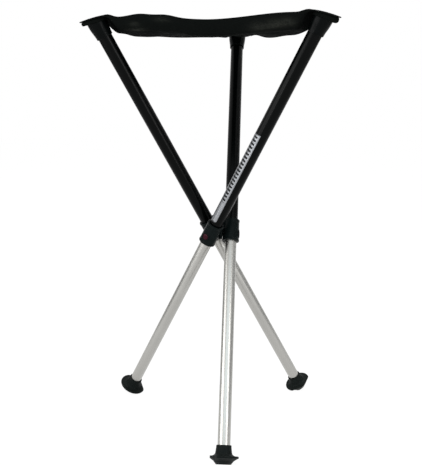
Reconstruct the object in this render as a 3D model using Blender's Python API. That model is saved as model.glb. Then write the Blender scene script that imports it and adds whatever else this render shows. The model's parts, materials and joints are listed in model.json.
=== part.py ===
"""Telescopic tripod stool: three crossed telescopic legs on a folding hub, with a cloth sling seat.

Leg frame: the origin is where the leg's axis passes its pivot, X points away from the hub axis along the
pivot, Z runs up the leg, and Y points outwards and down at the seat. Heights along a leg start at the pivot.
"""

import math

import bmesh
import bpy
import numpy as np
from mathutils import Matrix

# General
GAP = 0.0003  # clearance between touching pieces
SIDES = 20  # facets round a tube
SMALL_SIDES = 12  # facets round a pin, a button or a hole
HEX_SIDES = 6
SMOOTH_ANGLE_DEG = 30.0

# Stance
LEG_ANGLES_DEG = (120.0, 240.0, 0.0)  # where each leg passes the hub
LEG_TILT_DEG = 30.0  # lean of an open leg
HUB_X = 0.0123  # the hub axis is off the middle of the box that the stool fills
HUB_Y = -0.0101

# Tubes
UPPER_TUBE_R = 0.0125
UPPER_TUBE_WALL = 0.0010
UPPER_TUBE_TOP = 0.431
LOWER_TUBE_WALL = 0.0012
LOWER_TUBE_TOP = 0.046

# Pivot sleeve
SLEEVE_TOP = 0.024
SLEEVE_BOTTOM = -0.0185
SLEEVE_WALL = 0.0028
SLEEVE_LIP = 0.0027  # floor of the sleeve under the upper tube
SLEEVE_BEAD = 0.0009  # raised bead round each end
BEAD_HEIGHT = 0.0030
EDGE_ROUND = 0.0008

# Pivot pin and hub
PAD_R = 0.0085
PAD_RISE = 0.0003  # flat pivot pad above the sleeve
PIN_SHANK_R = 0.0040
PIN_NECK_R = 0.0030
PIN_HEAD_R = 0.0042
PIN_FLANGE_R = 0.0060
PIN_FLANGE_THICK = 0.0008
HUB_FLAT = 0.0084  # hub axis to the flat that a sleeve turns on
PIN_HEAD_START = 0.0034  # hub axis to the end of the pin
PIN_HEAD_THICK = 0.0012
HUB_CORNER_R = 0.0140
HUB_HALF_HEIGHT = 0.0110
BOLT_R = 0.0020
BOLT_HEAD_R = 0.0035
BOLT_HEAD_HEIGHT = 0.0028
SOCKET_R = 0.0016
SOCKET_DEPTH = 0.0014
NUT_R = 0.0039
NUT_HEIGHT = 0.0030
BOLT_TAIL = 0.0008  # bolt end past the nut

# Release button and lock clip
BUTTON_HEIGHT = -0.003  # along the leg
BUTTON_R = 0.0056
BUTTON_FLANGE = 0.0010  # wider rim that keeps the button in
BUTTON_FLANGE_THICK = 0.0008
BUTTON_DOME = 0.0009
BUTTON_FACE_R = 0.0015  # flat middle of the dome
DOME_STEPS = 3
BUTTON_PROUD = 0.0005
BUTTON_TRAVEL = 0.0014
BOSS_WALL = 0.0011
BOSS_LIP = 0.0010
LOCK_PIN_R = 0.0029
CLIP_WIDTH = 0.0060
CLIP_THICK = 0.0006
CLIP_TAIL = 0.0050  # strip below the lock pin
CLIP_RISE = 0.0320  # lock pin to the bend
CLIP_STRAIGHT = 0.0060  # strip above the lock pin that lies on the tube
CLIP_BEND_R = 0.0034
CLIP_BEND_STEPS = 6

# Guide plug of the lower tube
PLUG_DEPTH = 0.014
PLUG_FLANGE = 0.0027

# Foot
FOOT_TOP = -0.390
FOOT_WALL = 0.0018
FOOT_FLARE = 0.0013  # collar widens by this down to its waist
FOOT_COLLAR_LENGTH = 0.010
FLANGE_R = 0.0266
FLANGE_DROP = 0.0197  # foot top to the middle of the flange
FLANGE_THICK = 0.0030
FLANGE_STEPS = 4
SKIRT_STEPS = 3
TIP_DROP = 0.0081  # middle of the flange to the top of the tip
TIP_TOP_R = 0.0165
TIP_BOTTOM_R = 0.0128
FOOT_LENGTH = 0.0335
FOOT_SOLE = 0.0050  # rubber under the washer
WASHER_THICK = 0.0011
FOOT_FLAT_DEPTH = 0.0026  # worn flat that meets the floor
FOLDED_FOOT_GAP = 0.0004

# Corner cap and pocket
CAP_COLLAR = 0.020  # collar outside the tube
CAP_PLUG = 0.011  # plug inside the tube
CAP_WALL = 0.0018
CAP_FLARE = 0.0024  # collar widens by this up to the tube end
EAR_TURN_DEG = 13.0  # ear above square to the leg
EAR_TIP_R = 0.0090
EAR_REACH = 0.0155  # leg axis to the centre of the ear's round end
EAR_THICK = 0.0032
EAR_RISE = 0.0103  # tube end to the middle of the ear on the leg axis
EAR_TIP_STEPS = 8
EAR_ROOT_STEPS = 14
POCKET_CLOTH = 0.0012
POCKET_ROUND = 0.0022

# Seat sling
SLING_THICK = 0.0016
SLING_CORNER_R = 0.0125
SLING_BOW = 0.010  # edges curve in between the corners
SLING_RIM_RISE = 0.0027  # edges above the cloth at the leg axes
SLING_DEPTH = 0.0210  # pan below the rim
SLING_PAN_START = 0.05  # share of the way to the middle where the pan has most of its depth
SLING_LEAN = 0.0090  # pan hangs lower by this towards one side
SLING_LEAN_DEG = -94.0
SLING_CLEAR = 0.0055  # cloth lies flat this far past the root of the pocket
SLING_HEAD_FAR = 0.0460
SLING_SAGS = (0.0106, 0.0113, 0.0074)  # of the side that follows each leg
# Rises along those sides: share of the side, spread and height
SLING_RISES = (
    ((0.13, 0.04, -0.0018), (0.23, 0.05, 0.0036), (0.33, 0.06, 0.0049), (0.44, 0.05, 0.0006)),
    ((0.22, 0.10, -0.0060), (0.72, 0.10, 0.0047)),
    ((0.78, 0.10, -0.0060),),
)
EDGE_STEPS = 14
ARC_STEPS = 4
SLING_RINGS = (0.0, 0.03, 0.07, 0.11, 0.14, 0.17, 0.20, 0.24, 0.31, 0.45, 0.68)

# Derived sizes
TILT = math.radians(LEG_TILT_DEG)
EAR_TURN = math.radians(EAR_TURN_DEG)
UPPER_BORE_R = UPPER_TUBE_R - UPPER_TUBE_WALL
LOWER_TUBE_R = UPPER_BORE_R - GAP
LOWER_BORE_R = LOWER_TUBE_R - LOWER_TUBE_WALL
SLEEVE_BORE_R = UPPER_TUBE_R + GAP
SLEEVE_R = SLEEVE_BORE_R + SLEEVE_WALL
UPPER_TUBE_BOTTOM = SLEEVE_BOTTOM + SLEEVE_LIP + GAP
PAD_FACE = HUB_FLAT + GAP  # hub axis to the pivot pad
PIVOT_OFFSET = PAD_FACE + PAD_RISE + SLEEVE_R  # hub axis to leg axis
FLANGE_SEAT = PIVOT_OFFSET - UPPER_TUBE_R - 2 * GAP  # hub axis to the outer face of the pin's flange
PIN_HEAD_END = PIN_HEAD_START + PIN_HEAD_THICK
CAVITY_R = math.hypot(PIN_HEAD_END, PIN_HEAD_R) + GAP
CAVITY_HALF = PIN_HEAD_R + GAP
POCKET_ROOF = UPPER_TUBE_R + GAP + BUTTON_TRAVEL + BUTTON_FLANGE_THICK + GAP
BOSS_FACE = POCKET_ROOF + BOSS_LIP
BUTTON_RIM_R = BUTTON_R + BUTTON_FLANGE
BOSS_R = BUTTON_RIM_R + GAP + BOSS_WALL
LOCK_HOLE_R = LOCK_PIN_R + GAP
FOOT_COLLAR_R = LOWER_TUBE_R + GAP + FOOT_WALL
FOOT_WAIST_R = FOOT_COLLAR_R + FOOT_FLARE
LOWER_TUBE_BOTTOM = FOOT_TOP - FOOT_LENGTH + FOOT_SOLE + WASHER_THICK + 2 * GAP
FOOT_BOTTOM = FOOT_TOP - FOOT_LENGTH
HUB_HEIGHT = TIP_BOTTOM_R * math.sin(TILT) - FOOT_BOTTOM * math.cos(TILT) - FOOT_FLAT_DEPTH
FOOT_FLAT = PIVOT_OFFSET * math.sin(math.pi / 3) - FOLDED_FOOT_GAP
CAP_BOTTOM = UPPER_TUBE_TOP - CAP_COLLAR
CAP_BOTTOM_R = UPPER_TUBE_R + GAP + CAP_WALL
CAP_TOP_R = CAP_BOTTOM_R + CAP_FLARE
EAR_LEVEL = UPPER_TUBE_TOP + EAR_RISE
CAP_REACH = EAR_LEVEL + 2 * CAP_TOP_R * math.tan(EAR_TURN)  # past the ear's middle plane all round
POCKET_TOP = EAR_LEVEL + (EAR_THICK / 2 + GAP + POCKET_CLOTH) / math.cos(EAR_TURN)
SLING_SLOPE = math.tan(TILT - EAR_TURN)
SLING_HEAD_NEAR = CAP_TOP_R + GAP + POCKET_CLOTH + SLING_CLEAR


def clear_scene():
    for obj in list(bpy.data.objects):
        bpy.data.objects.remove(obj, do_unlink=True)


def make_material(name, colour, roughness, metallic=0.0):
    material = bpy.data.materials.new(name)
    material.use_nodes = True
    shader = material.node_tree.nodes["Principled BSDF"]
    shader.inputs["Base Color"].default_value = (*colour, 1.0)
    shader.inputs["Roughness"].default_value = roughness
    shader.inputs["Metallic"].default_value = metallic
    return material


def finish_mesh(bm, name):
    bmesh.ops.recalc_face_normals(bm, faces=bm.faces)
    mesh = bpy.data.meshes.new(name)
    bm.to_mesh(mesh)
    bm.free()
    return mesh


def turned(name, profile, sides=SIDES, hollow=False):
    """A solid turned about Z from (radius, height) points: a ring if hollow, else closed by flat discs."""
    bm = bmesh.new()
    angles = [2 * math.pi * (i + 0.5) / sides for i in range(sides)]
    rings = [[bm.verts.new((r * math.cos(a), r * math.sin(a), h)) for a in angles] for r, h in profile]
    for ring, after in zip(rings, rings[1:] + rings[:1] if hollow else rings[1:]):
        for i in range(sides):
            j = (i + 1) % sides
            bm.faces.new([ring[i], ring[j], after[j], after[i]])
    if not hollow:
        bm.faces.new(rings[0])
        bm.faces.new(rings[-1])
    return finish_mesh(bm, name)


def slab(name, outline, bottom, top, bevel=0.0):
    """An upright prism over an outline of (x, y) points, with its end edges rounded."""
    bm = bmesh.new()
    base = bm.faces.new([bm.verts.new((x, y, bottom)) for x, y in outline])
    grown = bmesh.ops.extrude_face_region(bm, geom=[base])
    raised = [item for item in grown["geom"] if isinstance(item, bmesh.types.BMVert)]
    bmesh.ops.translate(bm, verts=raised, vec=(0, 0, top - bottom))
    if bevel:
        ends = [e for e in bm.edges if abs(e.verts[0].co.z - e.verts[1].co.z) < bevel]
        bmesh.ops.bevel(bm, geom=ends, offset=bevel, segments=2, profile=0.5, affect="EDGES")
    return finish_mesh(bm, name)


def along_x(mesh, sign=1):
    """Turns a solid made about Z to lie about X, with +Z going to +X or -X."""
    mesh.transform(Matrix.Rotation(sign * math.pi / 2, 4, "Y"))
    return mesh


def rod(name, radius, start, end, sides=SMALL_SIDES):
    return turned(name, [(radius, start), (radius, end)], sides)


def quarter_ellipse(start, end, steps):
    """A curve from one (radius, height) point to another, upright at its start and level at its end."""
    turns = np.linspace(0, math.pi / 2, steps + 1)
    across = start[0] + (1 - np.cos(turns)) * (end[0] - start[0])
    along = start[1] + np.sin(turns) * (end[1] - start[1])
    return list(zip(across, along))


def round_edge(radius, middle, half):
    """The half round edge of a disc, from its upper side to its lower side."""
    turns = np.linspace(math.pi / 2, -math.pi / 2, FLANGE_STEPS + 1)
    return [(radius + half * math.cos(a), middle + half * math.sin(a)) for a in turns]


def combined(mesh, tools, operation):
    """The solid after others are cut from it or joined to it."""
    link = bpy.context.scene.collection.objects.link
    helpers = [bpy.data.objects.new("body", mesh)]
    link(helpers[0])
    for tool in tools:
        helper = bpy.data.objects.new("tool", tool)
        link(helper)
        helpers.append(helper)
        modifier = helpers[0].modifiers.new("Boolean", "BOOLEAN")
        modifier.operation = operation
        modifier.solver = "EXACT"
        modifier.object = helper
    graph = bpy.context.evaluated_depsgraph_get()
    result = bpy.data.meshes.new_from_object(helpers[0].evaluated_get(graph))
    for helper in helpers:
        bpy.data.objects.remove(helper, do_unlink=True)
    return result


def cut(mesh, *tools):
    return combined(mesh, tools, "DIFFERENCE")


def join(mesh, *tools):
    return combined(mesh, tools, "UNION")


def tube(name, radius, bore, bottom, top):
    hole = along_x(rod("hole", LOCK_HOLE_R, 0, 2 * radius))
    hole.transform(Matrix.Translation((0, 0, BUTTON_HEIGHT)))
    wall = [(bore, bottom), (radius, bottom), (radius, top), (bore, top)]
    return cut(turned(name, wall, hollow=True), hole)


def pivot_sleeve():
    outer_bead = SLEEVE_R + SLEEVE_BEAD
    lip_bore = LOWER_TUBE_R + GAP
    lip_top = SLEEVE_BOTTOM + SLEEVE_LIP
    body = turned(
        "pivot_sleeve",
        [
            (outer_bead - EDGE_ROUND, SLEEVE_BOTTOM),
            (outer_bead, SLEEVE_BOTTOM + EDGE_ROUND),
            (outer_bead, SLEEVE_BOTTOM + BEAD_HEIGHT),
            (SLEEVE_R, SLEEVE_BOTTOM + BEAD_HEIGHT + EDGE_ROUND),
            (SLEEVE_R, SLEEVE_TOP - BEAD_HEIGHT - EDGE_ROUND),
            (outer_bead, SLEEVE_TOP - BEAD_HEIGHT),
            (outer_bead, SLEEVE_TOP - EDGE_ROUND),
            (outer_bead - EDGE_ROUND, SLEEVE_TOP),
        ],
    )
    pad = along_x(rod("pad", PAD_R, 0, SLEEVE_R + PAD_RISE, SIDES), -1)
    boss = along_x(rod("boss", BOSS_R, 0, BOSS_FACE, SIDES))
    bores = turned(
        "bores",
        [
            (lip_bore, SLEEVE_BOTTOM - SLEEVE_LIP),
            (lip_bore, lip_top),
            (SLEEVE_BORE_R, lip_top),
            (SLEEVE_BORE_R, SLEEVE_TOP + SLEEVE_LIP),
        ],
    )
    flange_floor = PIVOT_OFFSET - FLANGE_SEAT + PIN_FLANGE_THICK + GAP
    shank_hole = along_x(rod("shank_hole", PIN_SHANK_R + GAP, 0, 2 * SLEEVE_R), -1)
    flange_hole = along_x(rod("flange_hole", PIN_FLANGE_R + GAP, 0, flange_floor), -1)
    button_hole = along_x(rod("button_hole", BUTTON_R + GAP, 0, 2 * SLEEVE_R))
    rim_pocket = along_x(rod("rim_pocket", BUTTON_RIM_R + GAP, 0, POCKET_ROOF))
    for tool in (boss, button_hole, rim_pocket):
        tool.transform(Matrix.Translation((0, 0, BUTTON_HEIGHT)))
    return cut(join(body, pad, boss), bores, shank_hole, flange_hole, button_hole, rim_pocket)


def pivot_pin():
    profile = [
        (PIN_HEAD_R, PIN_HEAD_START),
        (PIN_HEAD_R, PIN_HEAD_END),
        (PIN_NECK_R, PIN_HEAD_END),
        (PIN_NECK_R, PAD_FACE),
        (PIN_SHANK_R, PAD_FACE),
        (PIN_SHANK_R, FLANGE_SEAT - PIN_FLANGE_THICK),
        (PIN_FLANGE_R, FLANGE_SEAT - PIN_FLANGE_THICK),
        (PIN_FLANGE_R, FLANGE_SEAT),
    ]
    pin = along_x(turned("pivot_pin", profile, SMALL_SIDES))
    pin.transform(Matrix.Translation((-PIVOT_OFFSET, 0, 0)))
    return pin


def release_button():
    """Button with its axis on X and its origin on the leg axis."""
    rim = POCKET_ROOF - GAP
    back = rim - BUTTON_FLANGE_THICK
    face = BOSS_FACE + BUTTON_PROUD
    profile = [
        (BUTTON_RIM_R, back),
        (BUTTON_RIM_R, rim),
        (BUTTON_R, rim),
        *quarter_ellipse((BUTTON_R, face - BUTTON_DOME), (BUTTON_FACE_R, face), DOME_STEPS),
    ]
    return along_x(turned("release_button", profile, SMALL_SIDES))


def lock_clip():
    """A strip bent into a narrow arch inside the lower tube, with the lock pin on one arm."""
    wall = math.sqrt(LOWER_BORE_R**2 - (CLIP_WIDTH / 2) ** 2) - GAP
    bend = CLIP_BEND_R
    arm = [
        (wall, BUTTON_HEIGHT - CLIP_TAIL),
        (wall, BUTTON_HEIGHT + CLIP_STRAIGHT),
        (bend, BUTTON_HEIGHT + CLIP_RISE - bend),
    ]
    crown = [
        (bend * math.cos(a), BUTTON_HEIGHT + CLIP_RISE - bend + bend * math.sin(a))
        for a in np.linspace(0, math.pi, CLIP_BEND_STEPS + 1)[1:-1]
    ]
    outer = np.array(arm + crown + [(-x, h) for x, h in reversed(arm)])
    steps = np.gradient(outer, axis=0)
    inward = np.stack([-steps[:, 1], steps[:, 0]], axis=1)
    inward /= np.linalg.norm(inward, axis=1)[:, None]
    inner = outer + inward * CLIP_THICK
    outline = [tuple(p) for p in np.concatenate([outer, inner[::-1]])]
    strip = slab("lock_clip", outline, -CLIP_WIDTH / 2, CLIP_WIDTH / 2)
    strip.transform(Matrix.Rotation(math.pi / 2, 4, "X"))
    reach = POCKET_ROOF - BUTTON_FLANGE_THICK - 2 * GAP
    pin = along_x(rod("lock_pin", LOCK_PIN_R, wall - CLIP_THICK / 2, reach))
    pin.transform(Matrix.Translation((0, 0, BUTTON_HEIGHT)))
    return join(strip, pin)


def tube_plug():
    flange = LOWER_TUBE_TOP + GAP
    spigot_r = LOWER_BORE_R - GAP
    return turned(
        "tube_plug",
        [
            (spigot_r, flange - PLUG_DEPTH),
            (spigot_r, flange),
            (LOWER_TUBE_R, flange),
            (LOWER_TUBE_R, flange + PLUG_FLANGE - EDGE_ROUND),
            (LOWER_TUBE_R - EDGE_ROUND, flange + PLUG_FLANGE),
        ],
    )


def half_space(distance, angle):
    """A block that starts at a distance from the Z axis, facing an angle round it."""
    size = 4 * FLANGE_R
    bm = bmesh.new()
    bmesh.ops.create_cube(bm, size=size)
    block = finish_mesh(bm, "half_space")
    block.transform(Matrix.Translation((distance + size / 2, 0, FOOT_TOP - FLANGE_DROP)))
    block.transform(Matrix.Rotation(angle, 4, "Z"))
    return block


def floor_block():
    """What lies under the floor, in the leg's frame."""
    size = 4 * FLANGE_R
    bm = bmesh.new()
    bmesh.ops.create_cube(bm, size=size)
    block = finish_mesh(bm, "floor_block")
    foot_out = -FOOT_BOTTOM * math.sin(TILT)
    block.transform(Matrix.Translation((0, -foot_out, -HUB_HEIGHT - size / 2)))
    block.transform(Matrix.Rotation(TILT, 4, "X"))
    return block


def foot():
    bore = LOWER_TUBE_R + GAP
    floor = FOOT_BOTTOM + FOOT_SOLE
    middle = FOOT_TOP - FLANGE_DROP
    half = FLANGE_THICK / 2
    rim = FLANGE_R - half
    waist = FOOT_TOP - FOOT_COLLAR_LENGTH
    profile = [
        (bore, floor),
        (bore, FOOT_TOP),
        (FOOT_COLLAR_R - EDGE_ROUND, FOOT_TOP),
        (FOOT_COLLAR_R, FOOT_TOP - EDGE_ROUND),
        *quarter_ellipse((FOOT_WAIST_R, waist), (rim - half, middle + half), SKIRT_STEPS),
        *round_edge(rim, middle, half),
        (TIP_TOP_R, middle - TIP_DROP),
        (TIP_BOTTOM_R, FOOT_BOTTOM + EDGE_ROUND),
        (TIP_BOTTOM_R - EDGE_ROUND, FOOT_BOTTOM),
    ]
    sides = [half_space(FOOT_FLAT, math.radians(180 + turn)) for turn in (-30, 30)]
    return cut(turned("foot", profile), *sides, floor_block())


def ear_outline(extra):
    """A round root on the leg axis and a smaller round end further out, joined by straight sides."""
    root = CAP_TOP_R + extra
    end = EAR_TIP_R + extra
    lean = math.asin((root - end) / EAR_REACH)
    arc = np.linspace(lean, math.pi - lean, EAR_TIP_STEPS + 1)
    tip = [(end * math.cos(a), EAR_REACH + end * math.sin(a)) for a in arc]
    back = np.linspace(math.pi - lean, 2 * math.pi + lean, EAR_ROOT_STEPS + 1)
    return tip + [(root * math.cos(a), root * math.sin(a)) for a in back]


def on_ear(mesh):
    """Puts a solid made about the ear's middle in its place on the leg."""
    mesh.transform(Matrix.Rotation(EAR_TURN, 4, "X"))
    mesh.transform(Matrix.Translation((0, 0, EAR_LEVEL)))
    return mesh


def ear(name, extra, bevel=0.0):
    half = EAR_THICK / 2 + extra
    return on_ear(slab(name, ear_outline(extra), -half, half, bevel))


def below_ear(mesh):
    """The part of a solid under the ear's middle plane."""
    side = 2 * CAP_TOP_R
    square = [(-side, -side), (side, -side), (side, side), (-side, side)]
    return cut(mesh, on_ear(slab("above_ear", square, 0, side)))


def corner_cap():
    groove = UPPER_TUBE_TOP + GAP
    plug_r = UPPER_BORE_R - GAP
    collar = turned(
        "corner_cap",
        [
            (plug_r, groove - CAP_PLUG),
            (plug_r, groove),
            (UPPER_TUBE_R + GAP, groove),
            (UPPER_TUBE_R + GAP, CAP_BOTTOM),
            (CAP_BOTTOM_R, CAP_BOTTOM),
            (CAP_TOP_R, groove),
            (CAP_TOP_R, CAP_REACH),
        ],
    )
    return join(below_ear(collar), ear("ear", 0.0))


def corner_pocket():
    """Cloth over the ear, open below where the collar of the cap comes through."""
    outside = ear("corner_pocket", POCKET_CLOTH + GAP, POCKET_ROUND)
    room = ear("room", GAP)
    neck = below_ear(rod("neck", CAP_TOP_R + GAP, CAP_BOTTOM, CAP_REACH, SIDES))
    return cut(outside, room, neck)


def hub_half(name, sign):
    """Half of the hub: a block with three flats facing the sleeves, hollow for the pin heads."""
    outline = []
    for angle in LEG_ANGLES_DEG:
        middle = math.radians(angle + 60)
        half = math.acos(HUB_FLAT / HUB_CORNER_R)
        for turn in (half - math.pi / 3, math.pi / 3 - half):
            outline.append((HUB_CORNER_R * math.cos(middle + turn), HUB_CORNER_R * math.sin(middle + turn)))
    bottom, top = sorted((sign * GAP / 2, sign * HUB_HALF_HEIGHT))
    block = slab(name, outline, bottom, top)
    bolt_hole = rod("bolt_hole", BOLT_R + GAP, -2 * HUB_HALF_HEIGHT, 2 * HUB_HALF_HEIGHT)
    tools = [rod("cavity", CAVITY_R, -CAVITY_HALF, CAVITY_HALF), bolt_hole]
    for angle in LEG_ANGLES_DEG:
        bore = along_x(rod("bore", PIN_NECK_R + GAP, PIN_HEAD_START, 2 * HUB_CORNER_R))
        bore.transform(Matrix.Rotation(math.radians(angle), 4, "Z"))
        tools.append(bore)
    return cut(block, *tools)


def hub_bolt():
    seat = HUB_HALF_HEIGHT + GAP
    end = seat + NUT_HEIGHT + BOLT_TAIL
    bolt = turned(
        "hub_bolt",
        [
            (BOLT_R, -end),
            (BOLT_R, seat),
            (BOLT_HEAD_R, seat),
            (BOLT_HEAD_R, seat + BOLT_HEAD_HEIGHT),
        ],
        SMALL_SIDES,
    )
    top = seat + BOLT_HEAD_HEIGHT
    return cut(bolt, rod("socket", SOCKET_R, top - SOCKET_DEPTH, top + SOCKET_DEPTH, HEX_SIDES))


def hub_nut():
    seat = HUB_HALF_HEIGHT + GAP
    block = rod("hub_nut", NUT_R, -seat - NUT_HEIGHT, -seat, HEX_SIDES)
    return cut(block, rod("thread", BOLT_R + GAP, -seat - 2 * NUT_HEIGHT, 0))


def turned_plan(points, angle):
    c, s = math.cos(angle), math.sin(angle)
    return points @ np.array([[c, s], [-s, c]])


def smooth_step(x):
    x = np.clip(x, 0.0, 1.0)
    return x * x * (3 - 2 * x)


def sling_side(number, share):
    """Height of the cloth's edge along the side after a leg: a cubed sine sags it, bell curves shift it."""
    rises = [rise * np.exp(-(((share - at) / spread) ** 2)) for at, spread, rise in SLING_RISES[number]]
    return sum(rises) - SLING_SAGS[number] * np.sin(math.pi * share) ** 3


def sling_outline():
    """The edge of the cloth from above, about the hub axis, and how far each point is above the corners."""
    level = POCKET_TOP * math.sin(TILT)
    reach = level + EAR_REACH + EAR_TIP_R + POCKET_CLOTH - SLING_CORNER_R
    centre = np.array([PIVOT_OFFSET, reach])
    arc = np.radians(np.linspace(30, 150, ARC_STEPS + 1))
    corner = centre + SLING_CORNER_R * np.stack([np.cos(arc), np.sin(arc)], axis=1)
    share = (1 - np.cos(np.linspace(0, math.pi, EDGE_STEPS + 1)[1:-1])) / 2
    points, edge = [], []
    for number, angle in enumerate(LEG_ANGLES_DEG):
        here = turned_plan(corner, math.radians(angle))
        after = turned_plan(corner, math.radians(angle + 120))[0]
        side = here[-1] + share[:, None] * (after - here[-1])
        inward = -(here[-1] + after) / np.linalg.norm(here[-1] + after)
        points += [here, side + inward * SLING_BOW * (4 * share * (1 - share))[:, None]]
        edge += [np.zeros(len(here)), sling_side(number, share)]
    return np.concatenate(points), np.concatenate(edge)


def sling_height(plan, ring, edge):
    """Height of the cloth above the hub: a pan that leans to one side and lies flat on the three pockets."""
    rim = POCKET_TOP * math.cos(TILT) + SLING_THICK + GAP
    lean = np.cos(np.arctan2(plan[..., 1], plan[..., 0]) - math.radians(SLING_LEAN_DEG))
    belly = 27 / 4 * ring * (1 - ring) ** 2  # 1 at a third of the way to the middle
    pan = SLING_DEPTH * (1 - np.exp(-ring / SLING_PAN_START)) + SLING_LEAN * lean * belly
    height = rim + SLING_RIM_RISE + edge * (1 - ring) ** 2 - pan
    for angle in LEG_ANGLES_DEG:
        own = turned_plan(plan, -math.radians(angle))
        out = own[..., 1] - POCKET_TOP * math.sin(TILT)
        across = own[..., 0] - PIVOT_OFFSET
        beside = np.hypot(across, out - np.clip(out, 0, EAR_REACH))
        flat = rim - SLING_SLOPE * out
        share = smooth_step((SLING_HEAD_FAR - beside) / (SLING_HEAD_FAR - SLING_HEAD_NEAR))
        height = height + share * (flat - height)
    return height


def seat_sling():
    outline, edge = sling_outline()
    count = len(outline)
    rings = np.array(SLING_RINGS)
    plan = outline[None] * (1 - rings)[:, None, None]
    height = sling_height(plan, rings[:, None], edge[None])
    middle = sling_height(np.zeros((1, 2)), np.ones(1), np.zeros(1))[0]
    bm = bmesh.new()
    sheets = []
    for drop in (0.0, SLING_THICK):
        rows = [
            [bm.verts.new((*point, top - drop)) for point, top in zip(ring, tops)]
            for ring, tops in zip(plan, height)
        ]
        rows.append([bm.verts.new((0, 0, middle - drop))] * count)
        sheets.append(rows)
        for row, after in zip(rows, rows[1:]):
            for i in range(count):
                j = (i + 1) % count
                bm.faces.new(list(dict.fromkeys([row[i], row[j], after[j], after[i]])))
    for i in range(count):
        j = (i + 1) % count
        bm.faces.new([sheets[0][0][i], sheets[0][0][j], sheets[1][0][j], sheets[1][0][i]])
    bmesh.ops.triangulate(bm, faces=bm.faces)
    return finish_mesh(bm, "seat_sling")


def empty(name, parent=None, location=(0, 0, 0), rotation=(0, 0, 0)):
    obj = bpy.data.objects.new(name, None)
    obj.parent = parent
    obj.location = location
    obj.rotation_euler = rotation
    bpy.context.scene.collection.objects.link(obj)
    return obj


def place(name, mesh, material, parent, location=(0, 0, 0)):
    if not mesh.materials:
        mesh.materials.append(material)
    mesh.polygons.foreach_set("use_smooth", [True] * len(mesh.polygons))
    mesh.set_sharp_from_angle(angle=math.radians(SMOOTH_ANGLE_DEG))
    obj = bpy.data.objects.new(name, mesh)
    obj.parent = parent
    obj.location = location
    bpy.context.scene.collection.objects.link(obj)
    return obj


def main():
    clear_scene()
    black_metal = make_material("black_anodised_aluminium", (0.012, 0.012, 0.013), 0.42, 0.6)
    bare_metal = make_material("satin_aluminium", (0.56, 0.56, 0.55), 0.35, 1.0)
    steel = make_material("zinc_plated_steel", (0.50, 0.50, 0.50), 0.35, 1.0)
    nylon = make_material("black_moulded_nylon", (0.011, 0.011, 0.012), 0.5)
    red = make_material("red_moulded_plastic", (0.42, 0.02, 0.03), 0.3)
    rubber = make_material("black_rubber", (0.014, 0.016, 0.014), 0.7)
    cloth = make_material("black_woven_cloth", (0.008, 0.008, 0.009), 0.85)
    hub = empty("hub", None, (HUB_X, HUB_Y, HUB_HEIGHT))
    place("hub_upper_half", hub_half("hub_upper_half", 1), nylon, hub)
    place("hub_lower_half", hub_half("hub_lower_half", -1), nylon, hub)
    place("hub_bolt", hub_bolt(), steel, hub)
    place("hub_nut", hub_nut(), steel, hub)
    place("seat_sling", seat_sling(), cloth, hub)
    upper = {
        "upper_tube": (
            tube("upper_tube", UPPER_TUBE_R, UPPER_BORE_R, UPPER_TUBE_BOTTOM, UPPER_TUBE_TOP),
            black_metal,
        ),
        "corner_cap": (corner_cap(), nylon),
        "corner_pocket": (corner_pocket(), cloth),
        "pivot_sleeve": (pivot_sleeve(), nylon),
        "pivot_pin": (pivot_pin(), steel),
    }
    washer_r = LOWER_TUBE_R - GAP
    washer_top = LOWER_TUBE_BOTTOM - GAP
    lower = {
        "lower_tube": (
            tube("lower_tube", LOWER_TUBE_R, LOWER_BORE_R, LOWER_TUBE_BOTTOM, LOWER_TUBE_TOP),
            bare_metal,
        ),
        "tube_plug": (tube_plug(), nylon),
        "lock_clip": (lock_clip(), steel),
        "foot": (foot(), rubber),
        "foot_washer": (rod("foot_washer", washer_r, washer_top - WASHER_THICK, washer_top, SIDES), steel),
    }
    button = release_button()
    for number, angle in enumerate(LEG_ANGLES_DEG, start=1):
        turn = math.radians(angle)
        at = (PIVOT_OFFSET * math.cos(turn), PIVOT_OFFSET * math.sin(turn), 0)
        leg = empty(f"leg_{number}", hub, at, (-TILT, 0, turn))
        sliding = empty(f"lower_leg_{number}", leg)
        for name, (mesh, material) in upper.items():
            place(f"{name}_{number}", mesh, material, leg)
        for name, (mesh, material) in lower.items():
            place(f"{name}_{number}", mesh, material, sliding)
        place(f"release_button_{number}", button, red, leg, (0, 0, BUTTON_HEIGHT))


main()
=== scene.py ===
"""Looks of a telescopic tripod stool: its tubes, moulded parts, rubber feet and cloth seat, on a pale studio floor.

Leg frame: the origin is on the leg's axis at its pivot, X points away from the hub along the pivot, Z runs up the leg
and Y points outwards at the seat. Seat frame: the origin is the hub's centre and Z is up. Sizes are in metres.
"""

import json
import math

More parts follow.
